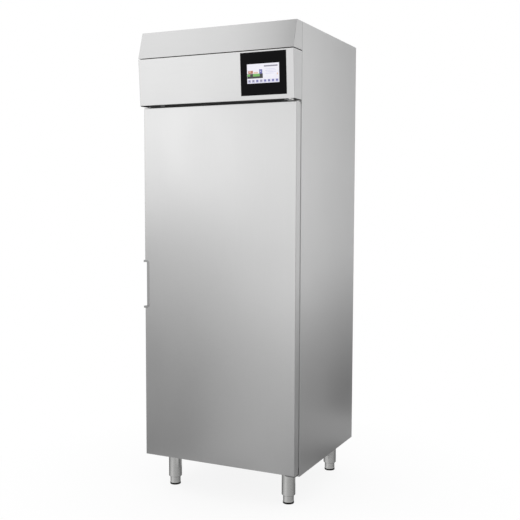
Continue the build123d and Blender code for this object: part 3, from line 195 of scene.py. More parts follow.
def zinc(name, colour):
    """Galvanised sheet with its spangle."""
    made = Finish(name, colour, 0.42, metal=0.9)
    flakes = made.pattern("flakes", 9 * MM)
    made.tint(flakes, 0.86, 1.06, start=0.0, end=1.0)
    return made.gloss(flakes, 0.34, 0.50, start=0.0, end=1.0)


def drawn(name, colour, rough, tarnish, size=0.04):
    """Drawn tube, wire or turned bar: tarnish in soft patches and fine lines."""
    made = Finish(name, colour, rough, metal=1.0)
    patches = made.pattern("noise", size, detail=4)
    made.tint(patches, tarnish, 1.04)
    made.gloss(patches, rough + 0.10, rough - 0.03)
    return made.relief(made.pattern("noise", 0.5 * MM, (1, 1, 12), detail=2), 4e-6)


def painted(name, colour, rough):
    """Sprayed paint with a slight orange peel."""
    made = Finish(name, colour, rough)
    made.gloss(made.pattern("noise", 0.05, detail=3), rough - 0.05, rough + 0.08)
    made.tint(made.pattern("noise", 0.08, detail=3), 0.85, 1.2)
    return made.relief(made.pattern("noise", 3 * MM, detail=2), 4e-5)


def foamed(name, colour):
    """Cut rigid foam: open cells and a skin that yellows in patches."""
    made = Finish(name, colour, 0.9)
    made.tint(made.pattern("noise", 0.06, detail=5), 0.86, 1.08)
    return made.relief(made.pattern("cells", 1.2 * MM), 3e-4)


def black_glass(name):
    """Black printed glass: dark, slightly soft shine with faint wipe marks."""
    made = Finish(name, (0.002, 0.002, 0.0025), 0.16, shine=0.055)
    wipes = made.pattern("noise", 0.05, (3, 1, 1), detail=3)
    made.gloss(wipes, 0.12, 0.2)
    return made.tint(wipes, 0.8, 1.2)


def pale_film(name, colour):
    """Pale film of a screen that is off, slightly uneven."""
    made = Finish(name, colour, 0.3)
    return made.tint(made.pattern("noise", 0.03), 0.96, 1.03)


def lit(name, colour, level):
    """Surface that glows with its own colour, slightly unevenly."""
    made = Finish(name, [c * 0.3 for c in colour], 0.25)
    made.set("Emission Color", (*colour, 1))
    made.set("Emission Strength", level)
    return made.tint(made.pattern("noise", 0.012), 0.9, 1.1)


finishes = {
    "door_steel": brushed("door_steel", (0.50, 0.50, 0.50), 0.30, UP),
    "body_steel": brushed("body_steel", (0.53, 0.53, 0.53), 0.30, UP),
    "trim_steel": brushed("trim_steel", (0.50, 0.50, 0.50), 0.30, ACROSS),
    "handle_steel": brushed("handle_steel", (0.36, 0.36, 0.36), 0.32, UP),
    "liner_steel": brushed("liner_steel", (0.66, 0.67, 0.67), 0.30, UP),
    # Painted shade: the hinges' steel is made far darker than real steel so that the hinge plate reads dark in
    # the shaded gap under the crown.
    "hinge_steel": brushed("hinge_steel", (0.20, 0.20, 0.20), 0.30, ACROSS),
    "leg_steel": brushed("leg_steel", (0.74, 0.74, 0.73), 0.22, ACROSS),
    "strip_steel": steel_painted_lighter_above("strip_steel", (0.47, 0.47, 0.47), 0.30),
    "zinc_steel": zinc("zinc_steel", (0.60, 0.62, 0.64)),
    "wire_chrome": drawn("wire_chrome", (0.78, 0.78, 0.79), 0.14, 0.9),
    "screw_steel": drawn("screw_steel", (0.66, 0.66, 0.66), 0.24, 0.85, 0.01),
    "coil_aluminium": drawn("coil_aluminium", (0.72, 0.73, 0.74), 0.35, 0.85),
    "copper": drawn("copper", (0.72, 0.36, 0.20), 0.25, 0.6),
    "black_paint": painted("black_paint", (0.018, 0.018, 0.018), 0.25),
    "motor_paint": painted("motor_paint", (0.05, 0.05, 0.055), 0.4),
    "frame_plastic": moulded("frame_plastic", (0.20, 0.205, 0.21), 0.55),
    "bush_plastic": moulded("bush_plastic", (0.72, 0.70, 0.64), 0.45),
    "black_plastic": moulded("black_plastic", (0.025, 0.025, 0.026), 0.45),
    "white_plastic": moulded("white_plastic", (0.80, 0.80, 0.77), 0.35),
    "grey_plastic": moulded("grey_plastic", (0.30, 0.31, 0.32), 0.5),
    "gasket_rubber": moulded("gasket_rubber", (0.13, 0.13, 0.135), 0.6),
    "grommet_rubber": moulded("grommet_rubber", (0.03, 0.03, 0.03), 0.65),
    "foot_rubber": moulded("foot_rubber", (0.006, 0.006, 0.006), 0.6, 0.7 * MM, 4e-5),
    # Painted shade: the near black of the strips and lips that darken the crown's seams and the ends of the gap
    # under it.
    "seal_rubber": moulded("seal_rubber", (0.028, 0.028, 0.028), 0.7),
    # Painted shade: the grey of the strips that darken the gap under the crown.
    "gap_rubber": moulded("gap_rubber", (0.19, 0.19, 0.19), 0.7),
    "insulation": foamed("insulation", (0.80, 0.66, 0.36)),
    "display_glass": black_glass("display_glass"),
    "screen": pale_film("screen", (0.75, 0.75, 0.82)),
    "lamp_light": lit("lamp_light", (0.95, 0.97, 1.0), 3.0),
}
for name, shine in {"foot_rubber": 0.15, "seal_rubber": 0.2, "gap_rubber": 0.2}.items():
    finishes[name].set("Specular IOR Level", shine)

PAGE_LIGHT = 0.75
page_colours = {
    "lit_page": (0.80, 0.79, 0.86),
    "lit_green": (0.16, 0.42, 0.10),
    "lit_brown": (0.42, 0.16, 0.10),
    "lit_dark": (0.02, 0.02, 0.02),
    "lit_blue": (0.13, 0.13, 0.36),
    "lit_grey": (0.25, 0.24, 0.30),
    "lit_lilac": (0.52, 0.52, 0.72),
    "lit_amber": (0.72, 0.50, 0.40),
}
for name, colour in page_colours.items():
    finishes[name] = lit(name, colour, PAGE_LIGHT)

for name, node in nodes.items():
    for place in node.material_slots:
        place.material = finishes[slot_of[name]].material


# Making of pieces


def kept(name, made, body, slot, stands_for=(), looks=(), smooth=35):
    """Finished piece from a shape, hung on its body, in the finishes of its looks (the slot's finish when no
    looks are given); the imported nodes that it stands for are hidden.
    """
    bmesh.ops.recalc_face_normals(made, faces=made.faces)
    mesh = bpy.data.meshes.new(name)
    made.to_mesh(mesh)
    made.free()
    for face in mesh.polygons:
        face.use_smooth = True
    mesh.set_sharp_from_angle(angle=radians(smooth))
    piece = bpy.data.objects.new(name, mesh)
    bpy.context.scene.collection.objects.link(piece)
    for look in looks or [slot]:
        mesh.materials.append(finishes[look].material)
    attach(piece, body)
    if stands_for:
        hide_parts(*stands_for)


def turned(outline, steps, thread=0):
    """Shape turned round Z from (radius, height) points in millimetres; thread is the rise of one turn."""
    made = bmesh.new()
    verts = [made.verts.new((radius * MM, 0, height * MM)) for radius, height in outline]
    edges = [made.edges.new(pair) for pair in zip(verts, verts[1:])]
    rise = (0, 0, thread * MM / steps)
    bmesh.ops.spin(made, geom=verts + edges, cent=(0, 0, 0), axis=(0, 0, 1), dvec=rise, angle=2 * pi,
                   steps=steps, use_merge=thread == 0)
    bmesh.ops.remove_doubles(made, verts=made.verts, dist=1e-6)
    return made


def bar(low, high):
    """Box between two corners."""
    made = bmesh.new()
    bmesh.ops.create_cube(made, size=1.0)
    low, high = Vector(low), Vector(high)
    bmesh.ops.scale(made, vec=high - low, verts=made.verts)
    bmesh.ops.translate(made, vec=(low + high) / 2, verts=made.verts)
    return made


def pulled(made, edges):
    """Extrudes a ring of edges and gives the points and edges of the new ring."""
    moved = bmesh.ops.extrude_edge_only(made, edges=edges)["geom"]
    verts = [part for part in moved if isinstance(part, bmesh.types.BMVert)]
    rims = [part for part in moved if isinstance(part, bmesh.types.BMEdge) and part.is_boundary]
    return verts, [rim for rim in rims if all(vert in verts for vert in rim.verts)]


def put(whole, part, place=None, finish=0, keep=False):
    """Adds a part to a whole at a place, given as a matrix."""
    mesh = bpy.data.meshes.new("part")
    part.to_mesh(mesh)
    if not keep:
        part.free()
    if place is not None:
        mesh.transform(place)
    for face in mesh.polygons:
        face.material_index = finish
    whole.from_mesh(mesh)
    bpy.data.meshes.remove(mesh)
    return whole


def both_sides(whole, part, x):
    """Adds a part drawn on the middle plane to both sides of a whole, x millimetres out."""
    for side in (-1, 1):
        put(whole, part, Matrix.Translation((side * x * MM, 0, 0)), keep=True)
    part.free()


def facing(place, outward):
    """Matrix that brings a part drawn along Z to a place, with Z outward."""
    return Matrix.Translation(place) @ Vector(outward).to_track_quat("Z", "Y").to_matrix().to_4x4()


def centre(node):
    """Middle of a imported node."""
    low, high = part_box(node)
    return (low + high) / 2


# Display


PANEL_LEAN = radians(3.926)
# Millimetres: foot of the panel, corner of the screen, thickness of a plate, and layers of the page
PANEL_FOOT_Y, PANEL_FOOT_Z = -371.5, 1759.0
SCREEN_LEFT, SCREEN_LOW = 162.0, 67.5
PLATE = 0.12
PAGE, FIELD, MARK = 0.62, 0.74, 0.86


def on_panel(across, along, out):
    """Point on the control panel: across, up its slope and out of its face, in millimetres."""
    up = Vector((0, -sin(PANEL_LEAN), cos(PANEL_LEAN)))
    outward = Vector((0, -cos(PANEL_LEAN), -sin(PANEL_LEAN)))
    return (Vector((across, PANEL_FOOT_Y, PANEL_FOOT_Z)) + up * along + outward * out) * MM


def tile(x, y, width, height, out):
    """Thin plate of the screen's picture and its place; x and y are its lower left corner on the screen."""
    made = bar((0, 0, 0), (width * MM, height * MM, PLATE * MM))
    turn = Matrix.Rotation(pi / 2 + PANEL_LEAN, 4, "X")
    return made, Matrix.Translation(on_panel(SCREEN_LEFT + x, SCREEN_LOW + y, out)) @ turn


def screen_menu():
    """Lit page of the screen: colour fields at the left, lines of grey at the right and a row of buttons."""
    plates = [
        (0, 0, 146.5, 79, PAGE, "lit_page"),
        (1, 20, 71, 19, FIELD, "lit_dark"),
        (1, 29, 13, 9, MARK, "lit_green"),
        (27, 28, 31, 11, MARK, "lit_green"),
        (5, 40, 22, 12, FIELD, "lit_brown"),
        (8, 45, 9, 5, MARK, "lit_amber"),
        (30, 40, 20, 6, FIELD, "lit_amber"),
        (56, 37, 14, 19, FIELD, "lit_blue"),
        (59, 46, 6, 4, MARK, "lit_lilac"),
        (78, 65.5, 62, 5.5, FIELD, "lit_grey"),
        (136, 31, 5, 7, FIELD, "lit_amber"),
    ]
    for line in range(4):
        plates.append((84 + 4 * (line % 2), 37 + 6 * line, 40 + 4 * (line % 3), 1.3, FIELD, "lit_lilac"))
    for column in range(8):
        left = 3 + 18 * column
        plates.append((left, 2, 14, 13, FIELD, "lit_lilac"))
        plates.append((left + 3, 6, 8, 7, MARK, "lit_blue" if column in (2, 4, 5, 6, 7) else "lit_grey"))
    looks = list(page_colours)
    whole = bmesh.new()
    for x, y, width, height, out, look in plates:
        made, place = tile(x, y, width, height, out)
        put(whole, made, place, looks.index(look))
    kept("screen_menu", whole, "service_flap", "screen", looks=looks, smooth=10)


# Door


def door_seal():
    """Magnetic bellows seal round the door, mitred at its corners."""
    low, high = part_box("door_gasket")
    thickness = 9.2
    section = [
        (0.0, 0.0), (20.0, 0.0), (20.0, 1.2), (16.5, 1.4), (14.6, 2.6), (17.4, 3.9), (17.6, 4.6), (19.6, 5.0),
        (20.0, 5.6), (20.0, 8.4), (19.2, thickness), (0.8, thickness), (0.0, 8.4), (0.0, 5.6), (0.4, 5.0),
        (3.4, 4.6), (3.2, 3.9), (5.6, 2.6), (3.6, 1.4), (0.0, 1.2),
    ]
    root = high.y - thickness * MM
    made = bmesh.new()
    verts = []
    for inward, back in section:
        verts.append(made.verts.new((low.x + inward * MM, root + back * MM, low.z + inward * MM)))
    edges = [made.edges.new(pair) for pair in zip(verts, verts[1:] + verts[:1])]
    middle = centre("door_gasket")
    for flip in ((-1, 1, 1), (1, 1, -1), (-1, 1, 1), (1, 1, -1)):
        verts, edges = pulled(made, edges)
        bmesh.ops.scale(made, vec=flip, verts=verts, space=Matrix.Translation(-middle))
    bmesh.ops.remove_doubles(made, verts=made.verts, dist=1e-6)
    kept("door_seal", made, "door", "gasket_rubber", ["door_gasket"], smooth=25)


def dust_strip():
    """Thin steel strip that closes the hinge side of the gap between door and body."""
    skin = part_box("door_skin")[1]
    foot, head = 0.19, 1.742
    inner, outer = skin.x - 15.5 * MM, skin.x - 0.9 * MM
    front, back = skin.y + 0.4 * MM, skin.y + 7.8 * MM
    made = bar((inner, front, foot), (outer, back, head))
    middle_x, middle_y = (inner + outer) / 2, (front + back) / 2
    swept = [rim for rim in made.edges
             if all(vert.co.x > middle_x and vert.co.y > middle_y for vert in rim.verts)]
    bmesh.ops.bevel(made, geom=swept, offset=4 * MM, segments=6, profile=0.5, affect="EDGES", material=-1)
    kept("dust_strip", made, "door", "door_steel", looks=["strip_steel"])


# Crown


def gap_strips():
    """Grey strips behind the gap under the crown, a sheet that paints the gap's shade: one low, and two above it
    beside the catches.
    """
    face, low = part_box("top_front_rail")[0].y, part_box("control_panel")[0].z
    front, back = face - 1.7 * MM, face - 0.2 * MM
    whole = bmesh.new()
    for left, right, foot, head in ((-371, 320, -7.0, 0.9), (-293, 293, 0.8, 17.0), (-371, -317, 0.8, 17.0)):
        put(whole, bar((left * MM, front, low + foot * MM), (right * MM, back, low + head * MM)))
    kept("crown_gap_shade_strips", whole, "cabinet", "black_plastic", looks=["gap_rubber"])


def seam_strips():
    """Black strips in the seams down the crown's sides: painted shade for the dark seam lines."""
    face, low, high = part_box("top_front_rail")[0].y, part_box("control_panel")[0].z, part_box("crown_trim")[1].z
    whole = bmesh.new()
    strip = bar((-0.75 * MM, face - 0.95 * MM, low + 2 * MM), (0.75 * MM, face - 0.1 * MM, high - 2 * MM))
    both_sides(whole, strip, 374.05)
    kept("crown_side_seam_shade", whole, "cabinet", "black_plastic", looks=["seal_rubber"])


def flap_shade_lips():
    """Black lips under the flap's side returns, painted shade that darkens the ends of the gap under the crown;
    low where they pass the panel's bottom flange.
    """
    face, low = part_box("top_front_rail")[0].y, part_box("control_panel")[0].z
    foot = low - 3 * MM
    whole = bmesh.new()
    for start, end, head in ((-74.0, -61.5, -0.1), (-61.5, -2.2, 5.0)):
        lip = bar((-0.35 * MM, face + start * MM, foot), (0.35 * MM, face + end * MM, low + head * MM))
        both_sides(whole, lip, 373.62)
    kept("flap_shade_lips", whole, "service_flap", "black_plastic", looks=["seal_rubber"])


def flap_tab():
    """Small slanted finger tab under the right end of the control panel, to pull the flap open with."""
    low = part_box("control_panel")[0]
    length, thickness, drop = 20 * MM, 1.2 * MM, 3.6 * MM
    slant = Matrix.Rotation(radians(20), 4, "Z") @ Matrix.Rotation(radians(8), 4, "Y")
    place = Matrix.Translation((348.5 * MM, low.y + 15 * MM, low.z)) @ slant
    made = put(bmesh.new(), bar((0, 0, -drop), (length, thickness, 0)), place)
    kept("flap_tab", made, "service_flap", "trim_steel", looks=["leg_steel"])


# Screws


def star_screw():
    """Round headed screw along Z with a six pointed recess, its head above the sheet at zero."""
    made = turned([(0, -12), (2, -11), (2, 0), (4.5, 0), (4.5, 0.8), (3.9, 1.8), (2.4, 2.4)], 24)
    rim = [edge for edge in made.edges if edge.is_boundary]
    top = bmesh.ops.contextual_create(made, geom=rim)["faces"]
    bmesh.ops.inset_region(made, faces=top, thickness=0.5 * MM)
    recess = sorted(top[0].verts, key=lambda vert: Vector((1, 0)).angle_signed(vert.co.to_2d()))
    point, flank, valley = 1.0, 0.80, 0.62
    for count, vert in enumerate(recess):
        vert.co.xy *= (point, flank, valley, flank)[count % 4]
    floor = bmesh.ops.extrude_discrete_faces(made, faces=top)["faces"]
    bmesh.ops.translate(made, vec=(0, 0, -1.1 * MM), verts=floor[0].verts)
    return made


def casing_screws():
    """Screws round the rear covers, each at an angle of its own, and in the leaves of the hinge brackets."""
    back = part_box("back_panel")[1].y + MM
    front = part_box("top_hinge")[1].y - 4 * MM
    source = star_screw()
    whole = bmesh.new()
    for side in (-1, 1):
        for z in (192.0, 956.0, 1720.0, 1800.0, 2040.0):
            place = facing((side * 364 * MM, back, z * MM), (0, 1, 0))
            put(whole, source, place @ Matrix.Rotation(z + side, 4, "Z"), keep=True)
    for x in (334.0, 349.0):
        for z in (172.5, 1777.5):
            put(whole, source, facing((x * MM, front, z * MM), (0, -1, 0)), keep=True)
    source.free()
    kept("casing_screws", whole, "cabinet", "screw_steel", ["body_screws"], smooth=40)


# Feet


def foot_barrel():
    """Turned barrel with a fine groove and a chamfered head."""
    return turned([
        (0, 4), (24, 4), (24, 14), (23.5, 14), (23.5, 15), (24, 15), (24, 67.6), (21.8, 70), (0, 70)], 64)


def foot_rod():
    """Threaded rod with its solid core."""
    teeth = []
    for turn in range(29):
        teeth += [(7.35, 69.0 + 2 * turn), (8.0, 70.0 + 2 * turn)]
    core = turned([(0, 69.5), (7.4, 69.5), (7.4, 127.2), (6.4, 128), (0, 128)], 24)
    return put(turned(teeth[:-1], 24, thread=2), core)


def foot_pad():
    """Rubber pad: two rings on the floor, a groove round its rim and a cup for the barrel."""
    return turned([
        (0, 0.6), (8, 0.6), (8.6, 0), (13.4, 0), (14, 0.6), (16, 0.6), (16.6, 0), (23.4, 0), (24.6, 0.4),
        (25, 1.4), (25, 3.2), (24.6, 3.6), (24.6, 4.0), (25, 4.4), (25, 7.4), (24.7, 8.0), (24.02, 8.0),
        (24.02, 4.02), (0, 4.02)], 64)


def feet():
    """Levelling foot at each corner: a barrel on a threaded rod, and a rubber pad."""
    for corner in ("front_left", "front_right", "rear_left", "rear_right"):
        body, middle = "leveller_" + corner, centre("foot_" + corner)
        place = Matrix.Translation((middle.x, middle.y, 0))
        whole = put(bmesh.new(), foot_barrel(), place)
        put(whole, foot_rod(), place)
        kept("levelling_" + corner, whole, body, "leg_steel", ["foot_" + corner])
        pad = put(bmesh.new(), foot_pad(), place)
        kept("tread_" + corner, pad, body, "foot_rubber", ["pad_" + corner], smooth=50)


# Fans


def fan_blade():
    """Swept and cambered blade from the hub out, rounded at its tip."""
    root, tip, level = 24.5 * MM, 92 * MM, 11.5 * MM
    pitch, camber, sweep = 19 * MM, 4 * MM, 0.35
    blade = bmesh.new()
    bmesh.ops.create_grid(blade, x_segments=10, y_segments=8, size=0.5)
    for vert in blade.verts:
        out, chord = vert.co.x + 0.5, vert.co.y
        narrowed = 1 - max(0.0, (out - 0.8) / 0.2) * abs(chord)
        reach = root + (tip - root) * out * (1 - 0.03 * (2 * chord) ** 2 * out)
        turn = chord * 0.9 * (0.03 / reach) ** 0.6 * narrowed + sweep * out
        lift = chord * pitch * narrowed + camber * (1 - 4 * chord * chord) * (0.4 + 0.6 * out)
        vert.co = (reach * cos(turn), reach * sin(turn), level + lift)
    bmesh.ops.solidify(blade, geom=blade.faces[:], thickness=1.6 * MM)
    return blade


def fan_wheel(node, body):
    """Moulded fan: hollow hub with a boss, and five blades."""
    whole = turned([
        (0, 0), (17, 0), (23, 1.6), (26, 6), (26, 24), (23.6, 24), (23.6, 6.5), (8, 6.5), (8, 24), (4.05, 24),
        (4.05, 11), (0, 11)], 48)
    blade = fan_blade()
    for count in range(5):
        put(whole, blade, Matrix.Rotation(2 * pi / 5 * count, 4, "Z"), keep=True)
    blade.free()
    front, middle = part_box(node)[0].y, centre(node)
    place = Matrix.Translation((middle.x, front, middle.z)) @ Matrix.Rotation(-pi / 2, 4, "X")
    kept(node + "_blades", put(bmesh.new(), whole, place), body, "black_plastic", [node], smooth=40)


# Coils


BEND_ROOM = 9 * MM


def coil_fins(node, fins):
    """Aluminium end plates and thin fins of a coil."""
    low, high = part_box(node)
    left, right = low.x + BEND_ROOM, high.x - BEND_ROOM
    plate, half_fin, inset = 1.5 * MM, 0.1 * MM, MM
    whole = put(bmesh.new(), bar((left, low.y, low.z), (left + plate, high.y, high.z)))
    put(whole, bar((right - plate, low.y, low.z), (right, high.y, high.z)))
    step = (right - left - 2 * plate) / (fins + 1)
    for count in range(fins):
        x = left + plate + step * (count + 1)
        low_corner = (x - half_fin, low.y + inset, low.z + inset)
        put(whole, bar(low_corner, (x + half_fin, high.y - inset, high.z - inset)))
    kept(node + "_fins", whole, "cabinet", "coil_aluminium", [node], smooth=20)


def tube_path(node, columns=3, rows=8):
    """Depth and height of each run of a coil's tube: up one column and down the next."""
    low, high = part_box(node)
    depth, rise = (high.y - low.y) / columns, (high.z - low.z) / rows
    path = []
    for column in range(columns):
        order = range(rows) if column % 2 == 0 else range(rows - 1, -1, -1)
        path += [(low.y + depth * (column + 0.5), low.z + rise * (row + 0.5)) for row in order]
    return path


def coil_tube(node):
    """One long copper tube that runs to and fro through a coil, with a half round bend after each run."""
    low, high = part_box(node)
    ends = {1: low.x + BEND_ROOM, -1: high.x - BEND_ROOM}
    path = tube_path(node)
    side = 1
    made = bmesh.new()
    ring = bmesh.ops.create_circle(made, segments=12, radius=4.8 * MM)["verts"]
    start = Matrix.Translation((ends[side] - BEND_ROOM, *path[0])) @ Matrix.Rotation(pi / 2, 4, "Y")
    bmesh.ops.transform(made, matrix=start, verts=ring)
    edges = list({edge for vert in ring for edge in vert.link_edges})
    for count, (y, z) in enumerate(path):
        verts, edges = pulled(made, edges)
        here = sum(vert.co.x for vert in verts) / len(verts)
        side = -side
        last = count == len(path) - 1
        goal = ends[side] - (side * BEND_ROOM if last else 0)
        bmesh.ops.translate(made, vec=(goal - here, 0, 0), verts=verts)
        if last:
            continue
        run, after = Vector((0, y, z)), Vector((0, *path[count + 1]))
        middle = (run + after) / 2 + Vector((ends[side], 0, 0))
        turn_axis = (run - after).normalized().cross(Vector((-side, 0, 0)))
        spun = bmesh.ops.spin(made, geom=verts + edges, cent=middle, axis=turn_axis, dvec=(0, 0, 0),
                              angle=pi, steps=8)["geom_last"]
        edges = [part for part in spun if isinstance(part, bmesh.types.BMEdge)]
    bmesh.ops.remove_doubles(made, verts=made.verts, dist=1e-6)
    bmesh.ops.holes_fill(made, edges=[edge for edge in made.edges if edge.is_boundary], sides=12)
    kept(node + "_tube", made, "cabinet", "copper", smooth=50)


# Chamber


def lamp_lens():
    """Lit lens of the chamber's lamp bar."""
    low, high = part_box("chamber_lamp")
    end, edge, bulge, root = 8 * MM, 5 * MM, 1.5 * MM, 2 * MM
    made = bar((low.x + end, low.y + edge, low.z - bulge), (high.x - end, high.y - edge, low.z + root))
    bmesh.ops.bevel(made, geom=made.edges[:], offset=1.2 * MM, segments=3, profile=0.5, affect="EDGES",
                    material=-1)
    kept("lamp_lens", made, "cabinet", "white_plastic", looks=["lamp_light"])


screen_menu()
door_seal()
dust_strip()
gap_strips()
seam_strips()
flap_shade_lips()
flap_tab()
casing_screws()
feet()
for fan in ("condenser_fan", "evaporator_fan"):
    fan_wheel(fan, fan + "_wheel")
for coil, fins in (("condenser_coil", 90), ("evaporator_coil", 74)):
    coil_fins(coil, fins)
    coil_tube(coil)
lamp_lens()


# Studio


def stage_piece(name, made, material):
    """Piece of the studio from a shape."""
    mesh = bpy.data.meshes.new(name)
    made.to_mesh(mesh)
    made.free()
    mesh.materials.append(material)
    piece = bpy.data.objects.new(name, mesh)
    bpy.context.scene.collection.objects.link(piece)
    return piece


def stage_sheet(name, radius, height, material):
    """Round sheet of the studio, flat at a height."""
    made = bmesh.new()
    bmesh.ops.create_circle(made, cap_ends=True, segments=96, radius=radius)
    bmesh.ops.translate(made, verts=made.verts, vec=(0, 0, height))
    return stage_piece(name, made, material)


def only_mirrored(piece):
    """Keeps a piece of the studio for shiny surfaces alone."""
    piece.visible_camera = False
    piece.visible_diffuse = False
    piece.visible_shadow = False
    piece.visible_transmission = False


def blended(tree, share, first, second, output="Material Output"):
    """Blend of two shaders as the output: the first at a share of 0 and the second at 1."""
    mix = tree.nodes.new("ShaderNodeMixShader")
    tree.links.new(share, mix.inputs["Fac"])
    tree.links.new(first, mix.inputs[1])
    tree.links.new(second, mix.inputs[2])
    tree.links.new(mix.outputs["Shader"], tree.nodes[output].inputs["Surface"])


def seen_rays(tree):
    """1 for rays from the camera, from shiny surfaces and through glass."""
    light = tree.nodes.new("ShaderNodeLightPath")
    total = light.outputs["Is Camera Ray"]
    for kind in ("Is Glossy Ray", "Is Transmission Ray"):
        more = tree.nodes.new("ShaderNodeMath")
        more.operation = "MAXIMUM"
        tree.links.new(total, more.inputs[0])
        tree.links.new(light.outputs[kind], more.inputs[1])
        total = more.outputs[0]
    return total


def far_share(finish, near, far):
    """0 nearer to the cabinet than near and 1 beyond far, in metres on the floor."""
    length = finish.node("VectorMath", operation="LENGTH")
    finish.link(finish.place(), length.inputs[0])
    return finish.spread(length.outputs["Value"], 0.0, 1.0, near, far)


def shades(finish, value, stops):
    """Grey ramp along a value, from (position, grey) stops."""
    ramp = finish.node("ValToRGB")
    points = ramp.color_ramp.elements
    while len(points) < len(stops):
        points.new(0.5)
    for point, (position, grey) in zip(points, stops):
        point.position = position
        point.color = (grey, grey, grey, 1)
    finish.link(value, ramp.inputs["Fac"])
    return ramp.outputs["Color"]


def round_greys(finish, place, stops):
    """Greys by the direction round the middle of some coordinates."""
    turn = finish.node("TexGradient", gradient_type="RADIAL")
    finish.link(place, turn.inputs["Vector"])
    return shades(finish, turn.outputs["Fac"], stops)


def white_floor():
    """Pale floor that keeps the shadow near the cabinet and is the white background further out."""
    made = Finish("floor_paper", (0.93, 0.93, 0.93), 0.95, shine=0.0)
    made.relief(made.pattern("noise", 4 * MM), 2e-5)
    white = made.node("Emission", Strength=1.0)
    share = made.node("Math", operation="MULTIPLY")
    made.link(made.spread(far_share(made, 0.3, 1.3), 0.87, 1.0, 0.0, 1.0), share.inputs[0])
    made.link(seen_rays(made.tree), share.inputs[1])
    blended(made.tree, share.outputs[0], made.shader.outputs["BSDF"], white.outputs["Emission"])
    stage_sheet("floor", 60, 0.0, made.material)


def open_greys(finish):
    """Greys of the mat's open part: lighter with distance, with a bright bay where the door looks."""
    reach = shades(finish, far_share(finish, 0.0, 10.0), [
        (0.0, 0.46), (0.09, 0.46), (0.2, 0.46), (0.4, 0.54), (0.8, 0.84)])
    turn = round_greys(finish, finish.place(), [
        (0.10, 0.96), (0.142, 0.94), (0.156, 0.74), (0.170, 0.82), (0.186, 1.28), (0.200, 1.50),
        (0.215, 1.74), (0.24, 1.62), (0.30, 1.0), (0.60, 1.0), (0.69, 1.25), (0.78, 1.0)])
    return finish.vector("MULTIPLY", reach, turn)


def leg_greys(finish):
    """Greys close to the cabinet, by the direction round the nearest leg."""
    front, rear = centre("foot_front_right"), centre("foot_rear_right")
    middle = finish.vector("SUBTRACT", finish.place(), (0, (rear.y + front.y) / 2, 0))
    quarter = finish.vector("SIGN", middle)
    leg = finish.vector("MULTIPLY", quarter, (front.x, (rear.y - front.y) / 2, 0))
    return round_greys(finish, finish.vector("SUBTRACT", middle, leg), [
        (0.0, 0.20), (0.045, 0.40), (0.115, 0.55), (0.17, 0.68), (0.2225, 0.57), (0.271, 0.476),
        (0.319, 0.436), (0.3675, 0.407), (0.4167, 0.365), (0.468, 0.35), (0.524, 0.29), (0.594, 0.20),
        (0.75, 0.16), (0.96, 0.14)])


def grey_mat():
    """Studio mat which only the steel mirrors: it glows close to the legs and is matt further out."""
    made = Finish("grey_mat", (0.6, 0.6, 0.6), 0.95, shine=0.0)
    made.link(open_greys(made), made.shader.inputs["Base Color"])
    glow = made.node("Emission", Strength=1.0)
    made.link(leg_greys(made), glow.inputs["Color"])
    beyond = far_share(made, 0.80, 0.92)
    blended(made.tree, beyond, glow.outputs["Emission"], made.shader.outputs["BSDF"])
    only_mirrored(stage_sheet("mat", 30, 2 * MM, made.material))


def grey_card(name, place, target, width, height, greys):
    """Studio card which only the steel mirrors, with greys from its foot to its head."""
    finish = Finish(name, (0.5, 0.5, 0.5), 0.95, shine=0.0)
    rise = finish.height(place[2] - height / 2, place[2] + height / 2)
    finish.link(shades(finish, rise, greys), finish.shader.inputs["Base Color"])
    made = bmesh.new()
    bmesh.ops.create_grid(made, x_segments=1, y_segments=1, size=0.5)
    bmesh.ops.scale(made, vec=(width, height, 1), verts=made.verts)
    made.transform(facing(place, Vector(target) - Vector(place)))
    only_mirrored(stage_piece(name, made, finish.material))


def white_world(strength):
    """World that lights softly and shows as white."""
    world = bpy.data.worlds.new("studio")
    bpy.context.scene.world = world
    world.use_nodes = True
    tree = world.node_tree
    light = tree.nodes["Background"]
    light.inputs["Color"].default_value = (1, 1, 1, 1)
    light.inputs["Strength"].default_value = strength
    white = tree.nodes.new("ShaderNodeBackground")
    white.inputs["Color"].default_value = (1, 1, 1, 1)
    white.inputs["Strength"].default_value = 1.0
    surround = white.outputs["Background"]
    blended(tree, seen_rays(tree), light.outputs["Background"], surround, "World Output")


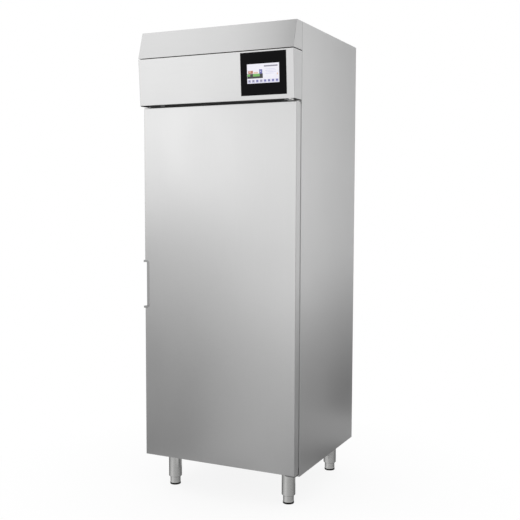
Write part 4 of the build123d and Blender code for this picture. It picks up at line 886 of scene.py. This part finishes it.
def softbox(name, place, target, width, height, level):
    """Soft rectangular lamp that faces a point; its level is how much light its face gives."""
    lamp = bpy.data.lights.new(name, "AREA")
    lamp.shape = "RECTANGLE"
    lamp.size, lamp.size_y = width, height
    watts_per_area = 4 * level
    lamp.energy = watts_per_area * width * height
    holder = bpy.data.objects.new(name, lamp)
    bpy.context.scene.collection.objects.link(holder)
    holder.location = place
    holder.rotation_euler = (Vector(target) - Vector(place)).to_track_quat("-Z", "Y").to_euler()


def camera():
    """Camera at the photograph's view."""
    lens = bpy.data.cameras.new("camera")
    lens.lens, lens.sensor_width = 57.99, 36.0
    heading, tilt, roll = radians(25.49), radians(85.71), radians(0.19)
    turn = Matrix.Rotation(heading, 4, "Z") @ Matrix.Rotation(tilt, 4, "X") @ Matrix.Rotation(roll, 4, "Z")
    holder = bpy.data.objects.new("camera", lens)
    bpy.context.scene.collection.objects.link(holder)
    holder.matrix_world = Matrix.Translation((1.7385, -3.5557, 1.3540)) @ turn
    bpy.context.scene.camera = holder


camera()
white_world(0.9)
white_floor()
grey_mat()
softbox("key", place=(-2.6, -3.9, 2.15), target=(-0.3, -0.3, 1.5), width=1.5, height=1.9, level=0.78)
softbox("front", place=(-1.1, -4.1, 1.6), target=(0.2, -0.3, 1.3), width=1.5, height=2.8, level=0.36)
softbox("top", place=(-1.95, -2.2, 4.4), target=(0, -0.3, 2.0), width=2.2, height=2.0, level=0.46)
grey_card("roof_card", place=(0.01, -2.5, 3.95), target=(0.2, -0.37, 2.0), width=1.6, height=1.8,
          greys=[(0.0, 0.05), (1.0, 0.09)])
grey_card("side_card", place=(0.70, 1.35, 1.5), target=(0.375, 0.3, 1.5), width=0.5, height=3.0,
          greys=[(0.0, 0.30), (0.07, 0.30), (0.18, 0.50), (0.34, 0.95), (0.51, 0.95), (0.68, 0.82),
                 (0.9, 0.66)])
softbox("side", place=(2.2, 4.7, 1.7), target=(0.375, 0, 1.5), width=1.6, height=3.0, level=0.16)
bpy.context.scene.view_settings.view_transform = "Standard"
